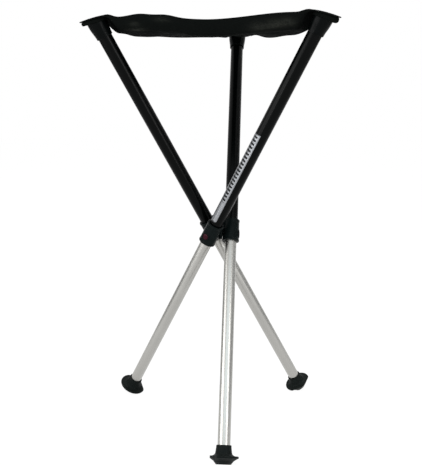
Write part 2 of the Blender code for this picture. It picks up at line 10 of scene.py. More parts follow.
import bmesh
import bpy
import numpy as np
from bpy.props import FloatProperty, FloatVectorProperty, IntProperty, PointerProperty
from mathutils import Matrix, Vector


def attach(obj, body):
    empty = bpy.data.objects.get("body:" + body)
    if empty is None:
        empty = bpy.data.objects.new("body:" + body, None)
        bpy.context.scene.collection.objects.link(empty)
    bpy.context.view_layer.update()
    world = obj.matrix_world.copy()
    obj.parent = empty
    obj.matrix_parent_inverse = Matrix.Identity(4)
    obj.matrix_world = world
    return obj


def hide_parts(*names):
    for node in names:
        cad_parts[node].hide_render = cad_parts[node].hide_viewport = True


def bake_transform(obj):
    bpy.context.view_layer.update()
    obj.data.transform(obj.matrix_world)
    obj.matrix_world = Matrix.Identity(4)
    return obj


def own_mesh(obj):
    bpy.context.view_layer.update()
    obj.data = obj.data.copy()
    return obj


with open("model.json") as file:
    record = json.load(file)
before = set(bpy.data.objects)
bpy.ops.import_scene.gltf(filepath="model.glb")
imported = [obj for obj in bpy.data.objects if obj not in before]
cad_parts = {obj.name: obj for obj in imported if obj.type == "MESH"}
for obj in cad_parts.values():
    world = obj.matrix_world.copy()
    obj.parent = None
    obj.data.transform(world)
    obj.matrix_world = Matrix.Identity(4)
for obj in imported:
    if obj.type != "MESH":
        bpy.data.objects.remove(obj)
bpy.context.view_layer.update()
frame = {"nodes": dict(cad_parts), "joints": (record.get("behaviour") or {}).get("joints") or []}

bl_info = {
    "name": "Tripod stool",
    "version": (1, 0, 0),
    "blender": (4, 5, 0),
    "location": "3D View > Sidebar > Stool",
    "description": "Dresses the frame of a telescopic tripod stool",
    "category": "Object",
}

JOINTS = {joint["name"]: joint for joint in frame["joints"]}
LEGS = (1, 2, 3)
QUARTER, FULL_TURN = math.pi / 2, 2 * math.pi

# Fits
GAP = 0.0003  # clearance between touching pieces
MERGE = 0.000002  # points nearer than this are one point
SMOOTH_ANGLE = math.radians(32)
DOME_POWER = 0.6  # makes a low dome fuller than a half ellipse

# Pivot sleeve
SLEEVE_R = 0.0156
SLEEVE_LIP = 0.0027  # floor under the upper tube
BEAD_RISE = 0.0006  # raised bead round each end
BEAD_HEIGHT = 0.0030
BEAD_RAMP = 0.0012
BOSS_FACE = 0.0163  # leg axis to the face round the button
BOSS_R = 0.0080
BOSS_WALL = 0.0008  # width of the boss's sloping side
BOSS_ARC = math.radians(38)  # half of the finer grid round the boss
BUTTON_WELL = 0.0016
PAD_FACE = 0.0159  # leg axis to the face that turns on the hub
PAD_R = 0.0085

# Release button
BUTTON_HEIGHT = -0.003  # along the leg
BUTTON_R = 0.0056
BUTTON_RIM_R = 0.0066
BUTTON_BACK = 0.0142  # leg axis to the back of the button
BUTTON_RIM = 0.0150
BUTTON_FACE = 0.0168
BUTTON_DOME = 0.0009

# Lock clip
CLIP_WIDTH = 0.0060
CLIP_THICK = 0.0006
CLIP_EASE = 0.0002
CLIP_TAIL = 0.0050  # strip below the lock pin
CLIP_STRAIGHT = 0.0060  # strip above the lock pin that lies on the tube
CLIP_RISE = 0.0320  # lock pin to the bend
CLIP_BEND_R = 0.0034
LOCK_PIN_R = 0.0029
LOCK_PIN_FAR = 0.1  # a point this far off, given with the pin as the place it would move towards to keep its length; nothing here uses it
LOCK_PIN_DOME = 0.0006

# Corner cap, the ear that carries the cloth, and the pocket on it
CAP_LENGTH = 0.020  # collar on the tube
CAP_WALL = 0.0018
CAP_TOP_R = 0.0170
CAP_SHOULDER = 0.007  # middle of the ear to the top of the flare
EAR_TURN = math.radians(13)  # ear above square to the leg
EAR_RISE = 0.0103  # tube end to the middle of the ear
EAR_REACH = 0.0155  # leg axis to the centre of the ear's round end
EAR_TIP_R = 0.0090
EAR_HALF = 0.0016
POCKET_CLOTH = 0.0012
POCKET_CROWN = 0.0014  # padded rise of the pocket over the ear
POCKET_FULL = {1: 0.0004, 2: 0.0024, 3: 0.0010}  # how full each pocket's end is, most of it below
POCKET_PUCKER = 0.00025
POCKET_PUCKERS = 14
POCKET_LIP = 0.0014  # least width of the pocket's underside
POCKET_ROLL = 0.0030  # width of its round rim
RIM_POWER = 0.8  # makes the rim fuller than a half circle

# Foot
FOOT_WAIST_R = 0.0146
FOOT_COLLAR = 0.0125
COLLAR_WALL = 0.0018
COLLAR_RIB, COLLAR_RIBS = 0.00012, 5
FLANGE_R = 0.0266
FLANGE_DROP = 0.0201  # foot top to the middle of the flange
FLANGE_THICK = 0.0042
TIP_DROP = 0.0058  # middle of the flange to the top of the tip
TIP_TOP_R = 0.0182
TIP_BOTTOM_R = 0.0136
TIP_RIB, TIP_RIBS = 0.0002, 2
FOOT_LENGTH = 0.0322
FOOT_SOLE = 0.0037
FOOT_HEEL = 0.0022  # sole pressed in towards the hub by the floor
FOOT_FLAT = 0.0209  # leg axis to the flats that pass the other legs
FLAT_TURNS = (math.radians(150), math.radians(-150))

# Label
LABEL_LEG = 2
LABEL_LIFT = 0.00025  # outer face over the tube
LABEL_THICK = 0.0002
LABEL_CORNER = 0.004
LABEL_CLEAR = 0.045  # bare lower end
LABEL_MARGIN = 0.0035
BAR_PITCH = 0.007
BAR_SHARE = 4 / 7  # of the pitch that is ink

# Seat
CLOTH_LIFT = 0.0016  # pocket's top to the cloth's top
CORNER_R = 0.0125
EDGE_STEPS = 60  # points along half a side
EDGE_BOW = 0.010  # sides curve in between the corners
RIM_RISE = 0.0027  # sides above the cloth at the leg axes
PAN_START = 0.05  # share of the way to the middle where the pan has most of its depth
PAN_LEAN = 0.0090  # pan hangs lower by this towards one side
PAN_LEAN_TURN = math.radians(-94)
HEAD_NEAR = 0.0190  # cloth lies on a pocket this near its middle line
HEAD_FAR = 0.0460
FOLD_REACH = 0.050  # folds are highest this far from the pocket
FOLD_COUNT = 11  # round a pocket
FOLD_SHIFT = 0.7  # turns the folds of each corner a little further
HEM_NARROW = 0.075  # hem begins to narrow this far from the tube's end
HEM_FADE = 0.035
SEAM_INSET = 0.0025  # stitches to the hem's inner edge
SIDE_SAG = {1: 0.0106, 2: 0.0113, 3: 0.0074}  # of the side that follows each leg
# Rises along those sides: share of the side, spread and height
SIDE_RISES = {
    1: ((0.13, 0.04, -0.0018), (0.23, 0.05, 0.0036), (0.33, 0.06, 0.0049), (0.44, 0.05, 0.0006)),
    2: ((0.22, 0.10, -0.0060), (0.72, 0.10, 0.0047)),
    3: ((0.78, 0.10, -0.0060),),
}
ROLL_R = 0.0010  # folded edge
# Spots where the cloth's colour is lightened as a painted sheen, a painted highlight: place from the hub, length and
# width, and strength
PAINTED_SHEEN_SPOTS = np.array(
    [
        (-0.134, -0.105, 0.3744, 0.008, 0.0040, 0.5),
        (-0.130, -0.097, 0.3664, 0.014, 0.0040, 0.8),
        (-0.088, -0.112, 0.3807, 0.013, 0.0035, 0.5),
        (0.074, -0.123, 0.3650, 0.014, 0.0090, 0.6),
        (0.100, -0.128, 0.3675, 0.014, 0.0090, 0.8),
        (0.121, -0.134, 0.3705, 0.012, 0.0080, 0.8),
    ]
)

# Stage
FLOOR_REACH = 8.0
FLOOR_GLOW = 1.06  # brightness that camera and reflections see
FLOOR_WHITE = 0.9  # share of it, the rest being paint that keeps the shadow
SKY_FILL = 0.5
WHITE = (1.0, 1.0, 1.0)
# Soft boxes: place, point that each faces, width and height, watts and colour
LIGHTS = {
    "overhead_softbox": ((0.2, 0.3, 2.4), (0, 0, 0.5), (1.2, 1.2), 36, WHITE),
    "front_softbox": ((0.1, -2.1, 1.6), (0, 0, 0.4), (2.2, 1.5), 12, (0.78, 0.93, 1.0)),
    "left_softbox": ((-2.05, -1.05, 0.9), (0, 0, 0.4), (1.5, 1.1), 17, WHITE),
    "left_strip": ((-1.5, -1.8, 0.4), (0, 0, 0.5), (0.4, 0.8), 7, WHITE),
    "right_strip": ((1.6, -1.65, 0.85), (0, 0, 0.4), (0.45, 1.7), 15, WHITE),
}
# Grey cards: place on the floor, width, height and tone
FLAGS = {"left_flag": ((-1.34, 0.31), 1.28, 0.5, 0.35), "right_flag": ((1.365, 0.168), 1.59, 1.8, 0.5)}
CAMERA_FROM_HUB = (0.08946, -1.2738, 0.2558)
CAMERA_DOWN = math.radians(11.37)
CAMERA_LEFT = math.radians(4.63)
CAMERA_LENS = 52.47  # mm
CAMERA_SENSOR = 36.0  # mm


def leg_matrix(number):
    """Axes as columns and origin of a leg's frame, from the joints that its fold and its slide turn and run on."""
    fold = JOINTS[f"leg_{number}_fold"]
    x = np.array(fold["axis"])
    z = np.array(JOINTS[f"lower_leg_{number}_slide"]["axis"])
    return np.stack([x, np.cross(z, x), z], axis=1), np.array(fold["pos_m"])


def from_leg(points, number):
    """Points of a leg's frame in the stool's frame."""
    axes, origin = leg_matrix(number)
    return points @ axes.T + origin


def mesh_points(mesh):
    """Points of a mesh, one to a row."""
    flat = np.empty(3 * len(mesh.vertices), np.float32)
    mesh.vertices.foreach_get("co", flat)
    return flat.reshape(-1, 3)


def round_span(kind):
    """Smallest and largest radius, and lowest and highest point, of a kind of CAD node on leg 1, in the leg's frame."""
    axes, origin = leg_matrix(1)
    points = (mesh_points(frame["nodes"][f"{kind}_1"].data) - origin) @ axes
    radius = np.hypot(points[:, 0], points[:, 1])
    return radius.min(), radius.max(), points[:, 2].min(), points[:, 2].max()


HUB = np.mean([JOINTS[f"leg_{n}_fold"]["pos_m"] for n in LEGS], axis=0)
TILT = math.acos(JOINTS["lower_leg_1_slide"]["axis"][2])
PIVOT_OFFSET = float(np.linalg.norm(np.array(JOINTS["leg_1_fold"]["pos_m"]) - HUB))
UPPER_BORE, UPPER_R, UPPER_BOTTOM, UPPER_TOP = round_span("upper_tube")
LOWER_BORE, LOWER_R, LOWER_BOTTOM, LOWER_TOP = round_span("lower_tube")
CLIP_WALL = math.sqrt(LOWER_BORE**2 - (CLIP_WIDTH / 2) ** 2) - GAP
SLEEVE_BOTTOM, SLEEVE_TOP = round_span("pivot_sleeve")[2:]
FOOT_TOP = round_span("foot")[3]
FOOT_BOTTOM = FOOT_TOP - FOOT_LENGTH
CAP_BOTTOM = UPPER_TOP - CAP_LENGTH
EAR_LEVEL = UPPER_TOP + EAR_RISE
POCKET_HALF = EAR_HALF + GAP + POCKET_CLOTH
POCKET_TOP = EAR_LEVEL + POCKET_HALF / math.cos(EAR_TURN)
POCKET_OUT = POCKET_TOP * math.sin(TILT)  # hub's axis to the pocket's middle, in plan
SEAT_RIM = POCKET_TOP * math.cos(TILT) + CLOTH_LIFT + GAP


def linear(code):
    """An sRGB hex colour as linear red, green and blue."""
    srgb = np.array([int(code[i : i + 2], 16) for i in (1, 3, 5)]) / 255
    return np.where(srgb <= 0.04045, srgb / 12.92, ((srgb + 0.055) / 1.055) ** 2.4).tolist()


def length_property(name, description, default):
    """A setting in metres."""
    return FloatProperty(name=name, description=description, default=default, unit="LENGTH")


def colour_property(name, code):
    """A colour setting with an sRGB hex default."""
    description = f"Main colour of the {name.lower()}"
    return FloatVectorProperty(name=name, description=description, subtype="COLOR", default=linear(code), min=0, max=1)


class StoolSizes(bpy.types.PropertyGroup):
    """Sizes of the finished stool that a user may change."""

    round_steps: IntProperty(name="Round steps", description="Points round a tube or a foot", default=96, min=24)
    tube_edge: length_property("Tube edge", "Easing of a sawn tube end", 0.0003)
    mould_edge: length_property("Moulded edge", "Easing of a moulded edge", 0.0008)
    seat_depth: length_property("Seat depth", "Pan of the seat below its rim", 0.021)
    cloth_thickness: length_property("Cloth thickness", "One layer of the seat", 0.0009)
    hem_width: length_property("Hem width", "Folded edge of the seat", 0.014)
    fold_height: length_property("Fold height", "Tension folds that leave the seat's corners", 0.0011)
    stitch_pitch: length_property("Stitch pitch", "Distance from stitch to stitch", 0.0040)
    thread_width: length_property("Thread width", "Thickness of the sewing thread", 0.0006)
    weave_pitch: length_property("Weave pitch", "Distance from yarn to yarn", 0.0010)
    label_width: length_property("Label width", "Round the tube", 0.018)
    label_start: length_property("Label start", "Lower end above the pivot", 0.030)
    label_end: length_property("Label end", "Upper end above the pivot", 0.219)
    label_turn: FloatProperty(
        name="Label turn",
        description="Middle of the label round the tube, from the pivot's direction",
        default=math.radians(-20.6),
        subtype="ANGLE",
    )


class StoolColours(bpy.types.PropertyGroup):
    """Colours of the finished stool that a user may change."""

    black_tube: colour_property("Upper tubes", "#020303")
    bare_tube: colour_property("Lower tubes", "#aeada9")
    nylon: colour_property("Sleeves and hub", "#0b1111")
    # The caps' nylon is darker than the sleeves' nylon: painted shade for the caps below the seat
    cap: colour_property("Corner caps", "#040606")
    button: colour_property("Release buttons", "#300c17")
    rubber: colour_property("Feet", "#101413")
    cloth: colour_property("Seat cloth", "#0f1110")
    # Lighter cloth colour that paints a sheen at listed spots, a painted highlight
    painted_sheen_cloth: colour_property("Rubbed cloth", "#3c3d38")
    thread: colour_property("Sewing thread", "#0e0f0f")
    label: colour_property("Label film", "#86888b")
    label_ink: colour_property("Label ink", "#1d1e1f")
    steel: colour_property("Steel fasteners", "#a3a39f")
    floor: colour_property("Floor", "#f4f4f4")


def add(tree, kind, inputs=None, **settings):
    """A new node with its settings. Each named input is set to a value, or linked from a socket or from the first
    output that another node has in use."""
    node = tree.nodes.new(f"ShaderNode{kind}")
    for key, value in settings.items():
        setattr(node, key, value)
    for key, value in (inputs or {}).items():
        if isinstance(value, bpy.types.Node):
            value = next(socket for socket in value.outputs if socket.enabled)
        if isinstance(value, bpy.types.NodeSocket):
            tree.links.new(value, node.inputs[key])
        else:
            node.inputs[key].default_value = value
    return node


def empty_material(name):
    """A material of that name with no nodes, or the one that is there already."""
    material = bpy.data.materials.get(name) or bpy.data.materials.new(name)
    material.use_nodes = True
    material.node_tree.nodes.clear()
    return material, material.node_tree


def shade(colour, factor):
    """A colour made lighter or darker, with its alpha."""
    return [min(1.0, factor * value) for value in colour] + [1.0]


def shades(pattern, colour, dark, light):
    """What a colour mix takes in to go from a dark to a light shade of a colour as a pattern does."""
    return {"Factor": pattern, "A": shade(colour, dark), "B": shade(colour, light)}


def lines_along(tree, apart, length, detail):
    """Pattern of fine lines along a piece: noise on its UV map, stretched to lines of that spacing and length."""
    surface = add(tree, "UVMap", uv_map="Surface")
    at = add(tree, "Mapping", {"Vector": surface, "Scale": (1 / apart, 1 / length, 1)})
    return add(tree, "TexNoise", {"Vector": at, "Scale": 1.0, "Detail": detail})


def close_material(tree, colour, roughness, relief=None, sockets=None):
    """The last nodes of a material: its shader, with a relief given as pattern, strength and depth, and its output."""
    inputs = {"Base Color": colour, "Roughness": roughness, **(sockets or {})}
    if relief:
        inputs["Normal"] = add(tree, "Bump", dict(zip(("Height", "Strength", "Distance"), relief)))
    add(tree, "OutputMaterial", {"Surface": add(tree, "BsdfPrincipled", inputs)})


def mottled_finish(tree, tone, gloss, relief=None, sockets=None, span=(0.3, 0.7)):
    """A whole finish from patterns. Tone gives a pattern, a colour and its dark and light shade; gloss gives a pattern
    and the roughness at the two ends of its span."""
    colour = add(tree, "Mix", shades(*tone), data_type="RGBA")
    ends = dict(zip(("Value", "To Min", "To Max", "From Min", "From Max"), (*gloss, *span)))
    roughness = add(tree, "MapRange", ends)
    close_material(tree, colour, roughness, relief, sockets)


def black_anodised_aluminium(colours):
    """Extruded tube, satin etched and dyed black: a soft streak of light with faint lines along the tube."""
    material, tree = empty_material("black_anodised_aluminium")
    # Die lines are about 0.3 mm apart and 60 mm long
    lines = lines_along(tree, 0.0003, 0.06, 2.0)
    place = add(tree, "TexCoord").outputs["Object"]
    # Handling marks are patches about 35 mm across
    marks = add(tree, "TexNoise", {"Vector": place, "Scale": 1 / 0.035, "Detail": 4.0})
    tone, gloss, relief = (marks, colours.black_tube, 0.8, 1.2), (lines, 0.20, 0.28), (lines, 0.15, 0.00003)
    mottled_finish(tree, tone, gloss, relief, {"Specular IOR Level": 0.07})
    return material


def satin_anodised_aluminium(colours):
    """Drawn tube, clear anodised: bright satin metal whose fine lines along the tube soften its reflections."""
    material, tree = empty_material("satin_anodised_aluminium")
    # Draw lines are about 0.25 mm apart and 90 mm long
    lines = lines_along(tree, 0.00025, 0.09, 3.0)
    place = add(tree, "TexCoord").outputs["Object"]
    # Clouding of the anodised film, about 40 mm across
    cloud = add(tree, "TexNoise", {"Vector": place, "Scale": 1 / 0.04, "Detail": 3.0})
    tone, gloss, relief = (cloud, colours.bare_tube, 0.93, 1.05), (lines, 0.26, 0.34), (lines, 0.2, 0.00003)
    mottled_finish(tree, tone, gloss, relief, {"Metallic": 1.0})
    return material


def moulded_nylon(name, colour):
    """Black glass-filled nylon from a spark-eroded mould: a matt grain with a low dull gleam on its edges."""
    material, tree = empty_material(name)
    place = add(tree, "TexCoord").outputs["Object"]
    # Spark grain is about 0.1 mm, drawn at 0.5 mm so that it shows
    grain = add(tree, "TexNoise", {"Vector": place, "Scale": 1 / 0.0005, "Detail": 2.0})
    # Flow marks of the moulding are about 8 mm across
    flow = add(tree, "TexNoise", {"Vector": place, "Scale": 1 / 0.008, "Detail": 3.0})
    tone, gloss, relief = (flow, colour, 0.75, 1.25), (flow, 0.22, 0.32), (grain, 0.25, 0.00006)
    mottled_finish(tree, tone, gloss, relief, {"IOR": 1.53, "Specular IOR Level": 0.045})
    return material


def red_moulded_acetal(colours):
    """Dark red acetal from a polished mould: a smooth face with a clear gleam and faint colour swirls."""
    material, tree = empty_material("red_moulded_acetal")
    place = add(tree, "TexCoord").outputs["Object"]
    # Colour swirls of the pigment are about 2 mm across
    swirl = add(tree, "TexNoise", {"Vector": place, "Scale": 1 / 0.002, "Detail": 3.0})
    tone, gloss = (swirl, colours.button, 0.8, 1.2), (swirl, 0.2, 0.3)
    mottled_finish(tree, tone, gloss, sockets={"IOR": 1.48, "Specular IOR Level": 0.08})
    return material


def black_rubber(colours):
    """Moulded natural rubber: dull and slightly green, with a dusty bloom and a fine skin."""
    material, tree = empty_material("moulded_black_rubber")
    place = add(tree, "TexCoord").outputs["Object"]
    # Bloom lies in patches about 10 mm across
    bloom = add(tree, "TexNoise", {"Vector": place, "Scale": 1 / 0.010, "Detail": 5.0})
    # Skin is about 0.2 mm, drawn at 0.6 mm so that it shows
    skin = add(tree, "TexNoise", {"Vector": place, "Scale": 1 / 0.0006, "Detail": 2.0})
    tone, gloss, relief = (bloom, colours.rubber, 0.5, 1.6), (bloom, 0.38, 0.6), (skin, 0.2, 0.00006)
    mottled_finish(tree, tone, gloss, relief, {"IOR": 1.52, "Specular IOR Level": 0.05})
    return material


def woven_polyester(colours, pitch):
    """Heavy plain-woven polyester: a matt black with a fine grid of yarns that catch light on their crowns.

    Along each yarn the height is the size of a sine with one half wave to a yarn, and a checker swaps which of the two
    sets of yarns is on top.
    """
    material, tree = empty_material("woven_black_polyester")
    surface = add(tree, "UVMap", uv_map="Surface")
    # Yarns are about 0.5 mm apart, drawn at the weave pitch so that they show
    cells = add(tree, "VectorMath", {0: surface, 1: (1 / pitch,) * 3}, operation="MULTIPLY")
    axes = add(tree, "SeparateXYZ", {"Vector": cells})
    weave = {"Factor": add(tree, "TexChecker", {"Vector": cells, "Scale": 1.0}).outputs["Fac"]}
    for side, axis in (("A", "X"), ("B", "Y")):
        turn = add(tree, "Math", {0: axes.outputs[axis], 1: math.pi}, operation="MULTIPLY")
        wave = add(tree, "Math", {0: turn}, operation="SINE")
        weave[side] = add(tree, "Math", {0: wave}, operation="ABSOLUTE")
    yarn = add(tree, "Mix", weave)
    place = add(tree, "TexCoord").outputs["Object"]
    # Wear and lint make patches about 25 mm across
    wear = add(tree, "TexNoise", {"Vector": place, "Scale": 1 / 0.025, "Detail": 4.0})
    patch = add(tree, "Mix", shades(wear, colours.cloth, 0.8, 1.2), data_type="RGBA")
    # Slubs of the yarn are about 3 mm long
    slub = add(tree, "TexNoise", {"Vector": place, "Scale": 1 / 0.003, "Detail": 2.0})
    uneven = add(tree, "MapRange", {"Value": slub, "From Min": 0.3, "From Max": 0.7, "To Min": 0.3, "To Max": 1.0})
    # Painted highlight: the cloth is lightened towards a sheen colour about listed spots, broken up by the slubs
    painted_sheen_weight = add(tree, "Attribute", attribute_name="PaintedSheen").outputs["Fac"]
    painted_sheen_share = add(tree, "Math", {0: painted_sheen_weight, 1: uneven}, operation="MULTIPLY")
    cloth_with_painted_sheen = add(tree, "Mix", {"Factor": painted_sheen_share, "A": patch, "B": [*colours.painted_sheen_cloth, 1.0]}, data_type="RGBA")
    # The colour falls to 0.55 of the cloth's between the yarns: painted shade in the weave's hollows, with lighter
    # crowns
    tone = add(tree, "Mix", {"Factor": yarn, "A": shade(colours.cloth, 0.55), "B": cloth_with_painted_sheen}, data_type="RGBA")
    gloss = add(tree, "MapRange", {"Value": yarn, "To Min": 0.85, "To Max": 0.62})
    close_material(tree, tone, gloss, (yarn, 0.5, 0.00015), {"Specular IOR Level": 0.003})
    return material


def sewing_thread(colours):
    """Bonded polyester thread: a tight twist with a dull shine."""
    material, tree = empty_material("bonded_polyester_thread")
    surface = add(tree, "UVMap", uv_map="Surface")
    # The twist repeats about every 0.8 mm
    spin = {"Vector": surface, "Scale": 1 / 0.0008, "Distortion": 0.5}
    twist = add(tree, "TexWave", spin, bands_direction="DIAGONAL").outputs["Fac"]
    tone = add(tree, "Mix", shades(twist, colours.thread, 0.6, 1.3), data_type="RGBA")
    close_material(tree, tone, 0.55, (twist, 0.4, 0.0001), {"Specular IOR Level": 0.1})
    return material


def brushed_silver_film(colours, sizes):
    """Metallised label film: brushed along its length, so it shows a broad grey gleam with fine lines. A row of plain
    bars is printed along it in matt black ink."""
    material, tree = empty_material("brushed_silver_film")
    # Brush lines are about 0.2 mm apart, drawn at 0.5 mm so that they show, and 40 mm long
    lines = lines_along(tree, 0.0005, 0.04, 3.0)
    tone = add(tree, "Mix", shades(lines, colours.label, 0.85, 1.1), data_type="RGBA")
    gloss = add(tree, "MapRange", {"Value": lines, "From Min": 0.3, "From Max": 0.7, "To Min": 0.3, "To Max": 0.42})
    surface = add(tree, "UVMap", uv_map="Surface")
    at = add(tree, "SeparateXYZ", {"Vector": surface}).outputs
    # Bars are 4 mm long and start every 7 mm
    count = add(tree, "Math", {0: at["Y"], 1: BAR_PITCH}, operation="DIVIDE")
    part = add(tree, "Math", {0: count}, operation="FRACT")
    bar = add(tree, "Math", {0: part, 1: BAR_SHARE}, operation="LESS_THAN")
    # The row of bars keeps off the bare end and the edges
    length, half = sizes.label_end - sizes.label_start, sizes.label_width / 2
    along = {0: at["Y"], 1: (length + LABEL_CLEAR - LABEL_MARGIN) / 2, 2: (length - LABEL_CLEAR - LABEL_MARGIN) / 2}
    row = add(tree, "Math", along, operation="COMPARE")
    band = add(tree, "Math", {0: at["X"], 1: half, 2: half - LABEL_MARGIN}, operation="COMPARE")
    inside = add(tree, "Math", {0: row, 1: band}, operation="MULTIPLY")
    ink = add(tree, "Math", {0: inside, 1: bar}, operation="MULTIPLY")
    printed = add(tree, "Mix", {"Factor": ink, "A": tone, "B": [*colours.label_ink, 1.0]}, data_type="RGBA")
    metal = add(tree, "Math", {0: 1.0, 1: ink}, operation="SUBTRACT")
    close_material(tree, printed, gloss, sockets={"Metallic": metal, "Specular IOR Level": 0.1})
    return material


def zinc_plated_steel(colours):
    """Turned or pressed steel, zinc plated: a cool grey metal with a faint crystal mottle."""
    material, tree = empty_material("zinc_plated_steel")
    place = add(tree, "TexCoord").outputs["Object"]
    # Zinc mottle is about 1.5 mm across
    mottle = add(tree, "TexVoronoi", {"Vector": place, "Scale": 1 / 0.0015})
    tone, gloss = (mottle, colours.steel, 0.85, 1.1), (mottle, 0.28, 0.45)
    mottled_finish(tree, tone, gloss, sockets={"Metallic": 1.0}, span=(0.0, 1.0))
    return material


def smooth_step(x):
    """0 below 0, 1 above 1, and a cubic with level ends between."""
    x = np.clip(x, 0.0, 1.0)
    return x * x * (3 - 2 * x)


def grid_cells(rows, columns, ring, around):
    """Row and column of each cell's four corners; a ring joins the last row to the first, around the columns."""
    r, c = np.meshgrid(np.arange(rows - (not ring)), np.arange(columns - (not around)), indexing="ij")
    return (r[..., None] + [0, 0, 1, 1]).reshape(-1, 4), (c[..., None] + [0, 1, 1, 0]).reshape(-1, 4)


def flat_map(points, ring, around):
    """UV of a grid in metres: mean length down its columns, and length along its longest row."""
    grid = np.concatenate([points, points[:1]], axis=0) if ring else points
    grid = np.concatenate([grid, grid[:, :1]], axis=1) if around else grid
    down = np.linalg.norm(np.diff(grid, axis=0), axis=2).mean(axis=1)
    across = np.linalg.norm(np.diff(grid, axis=1), axis=2)
    longest = across[across.sum(axis=1).argmax()]
    return np.stack(np.meshgrid(np.append(0, np.cumsum(longest)), np.append(0, np.cumsum(down))), axis=-1)


def add_piece(name, points, faces, uv, material, sharp=True):
    """A piece from points, faces and the UV of their corners, with equal points merged. A closed surface is turned to
    face outwards; an open one faces the way that its columns crossed with its rows point."""
    mesh = bpy.data.meshes.new(name)
    mesh.from_pydata(points.reshape(-1, 3).tolist(), [], faces.tolist())
    mesh.uv_layers.new(name="Surface").data.foreach_set("uv", uv.astype(np.float32).ravel())
    work = bmesh.new()
    work.from_mesh(mesh)
    bmesh.ops.remove_doubles(work, verts=work.verts, dist=MERGE)
    if all(edge.is_manifold for edge in work.edges):
        bmesh.ops.recalc_face_normals(work, faces=work.faces)
    work.to_mesh(mesh)
    work.free()
    mesh.shade_smooth()
    if sharp:
        mesh.set_sharp_from_angle(angle=SMOOTH_ANGLE)
    mesh.materials.append(material)
    piece = bpy.data.objects.new(name, mesh)
    bpy.context.scene.collection.objects.link(piece)
    return piece


def add_surface(name, points, material, ring=False, around=False, uv=None):
    """A piece from a grid of points."""
    rows, columns = points.shape[:2]
    r, c = grid_cells(rows, columns, ring, around)
    surface = flat_map(points, ring, around) if uv is None else uv
    return add_piece(name, points, (r % rows) * columns + c % columns, surface[r, c], material)


def add_beads(name, beads, material):
    """One piece from many small closed grids of the same size."""
    count, rows, columns = beads.shape[:3]
    r, c = grid_cells(rows, columns, False, True)
    faces = r * columns + c % columns + (np.arange(count) * rows * columns)[:, None, None]
    one = flat_map(beads[0], False, True)[r, c]
    return add_piece(name, beads, faces.reshape(-1, 4), np.tile(one.ravel(), count), material, sharp=False)


def thicken(piece, thickness):
    """A wall of that thickness behind an open surface."""
    wall = piece.modifiers.new("Wall", "SOLIDIFY")
    wall.thickness = thickness
    wall.offset = -1


def dress_legs(name, grids, material, body, node, ring=False):
    """A piece on each leg from its grid in the stool's frame. It rides on the leg's body of that kind in the place of a
    CAD node."""
    pieces = []
    for number, grid in zip(LEGS, grids):
        piece = add_surface(name.format(number), grid, material, ring=ring, around=True)
        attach(piece, f"{body}_{number}")
        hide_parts(f"{node}_{number}")
        pieces.append(piece)
    return pieces


def on_legs(points):
    """The same points of a leg's frame on each leg."""
    return [from_leg(points, number) for number in LEGS]


def eased(corners, ease, steps=4):
    """A closed outline with its corners eased: a quadratic curve from ease before each corner to ease after it, or from
    0.45 of a short side."""
    corner = np.array(corners, float)
    ends = []
    for step in (1, -1):
        side = np.roll(corner, step, axis=0) - corner
        length = np.linalg.norm(side, axis=1, keepdims=True)
        ends.append((corner + side * np.minimum(ease, 0.45 * length) / length)[:, None])
    t = np.linspace(0, 1, steps + 1)[None, :, None]
    curve = (1 - t) ** 2 * ends[0] + 2 * t * (1 - t) * corner[:, None] + t**2 * ends[1]
    return curve.reshape(-1, 2)


def turned(profile, steps):
    """A profile of radii and heights carried round Z."""
    angle = np.arange(steps) / steps * FULL_TURN
    radius = profile[:, :1]
    height = np.broadcast_to(profile[:, 1:], (len(profile), steps))
    return np.stack([radius * np.cos(angle), radius * np.sin(angle), height], axis=-1)


def tube_points(bore, radius, bottom, top, edge, steps):
    """A tube: a rectangle of wall and length with eased corners, carried round Z."""
    return turned(eased([(bore, bottom), (radius, bottom), (radius, top), (bore, top)], edge), steps)


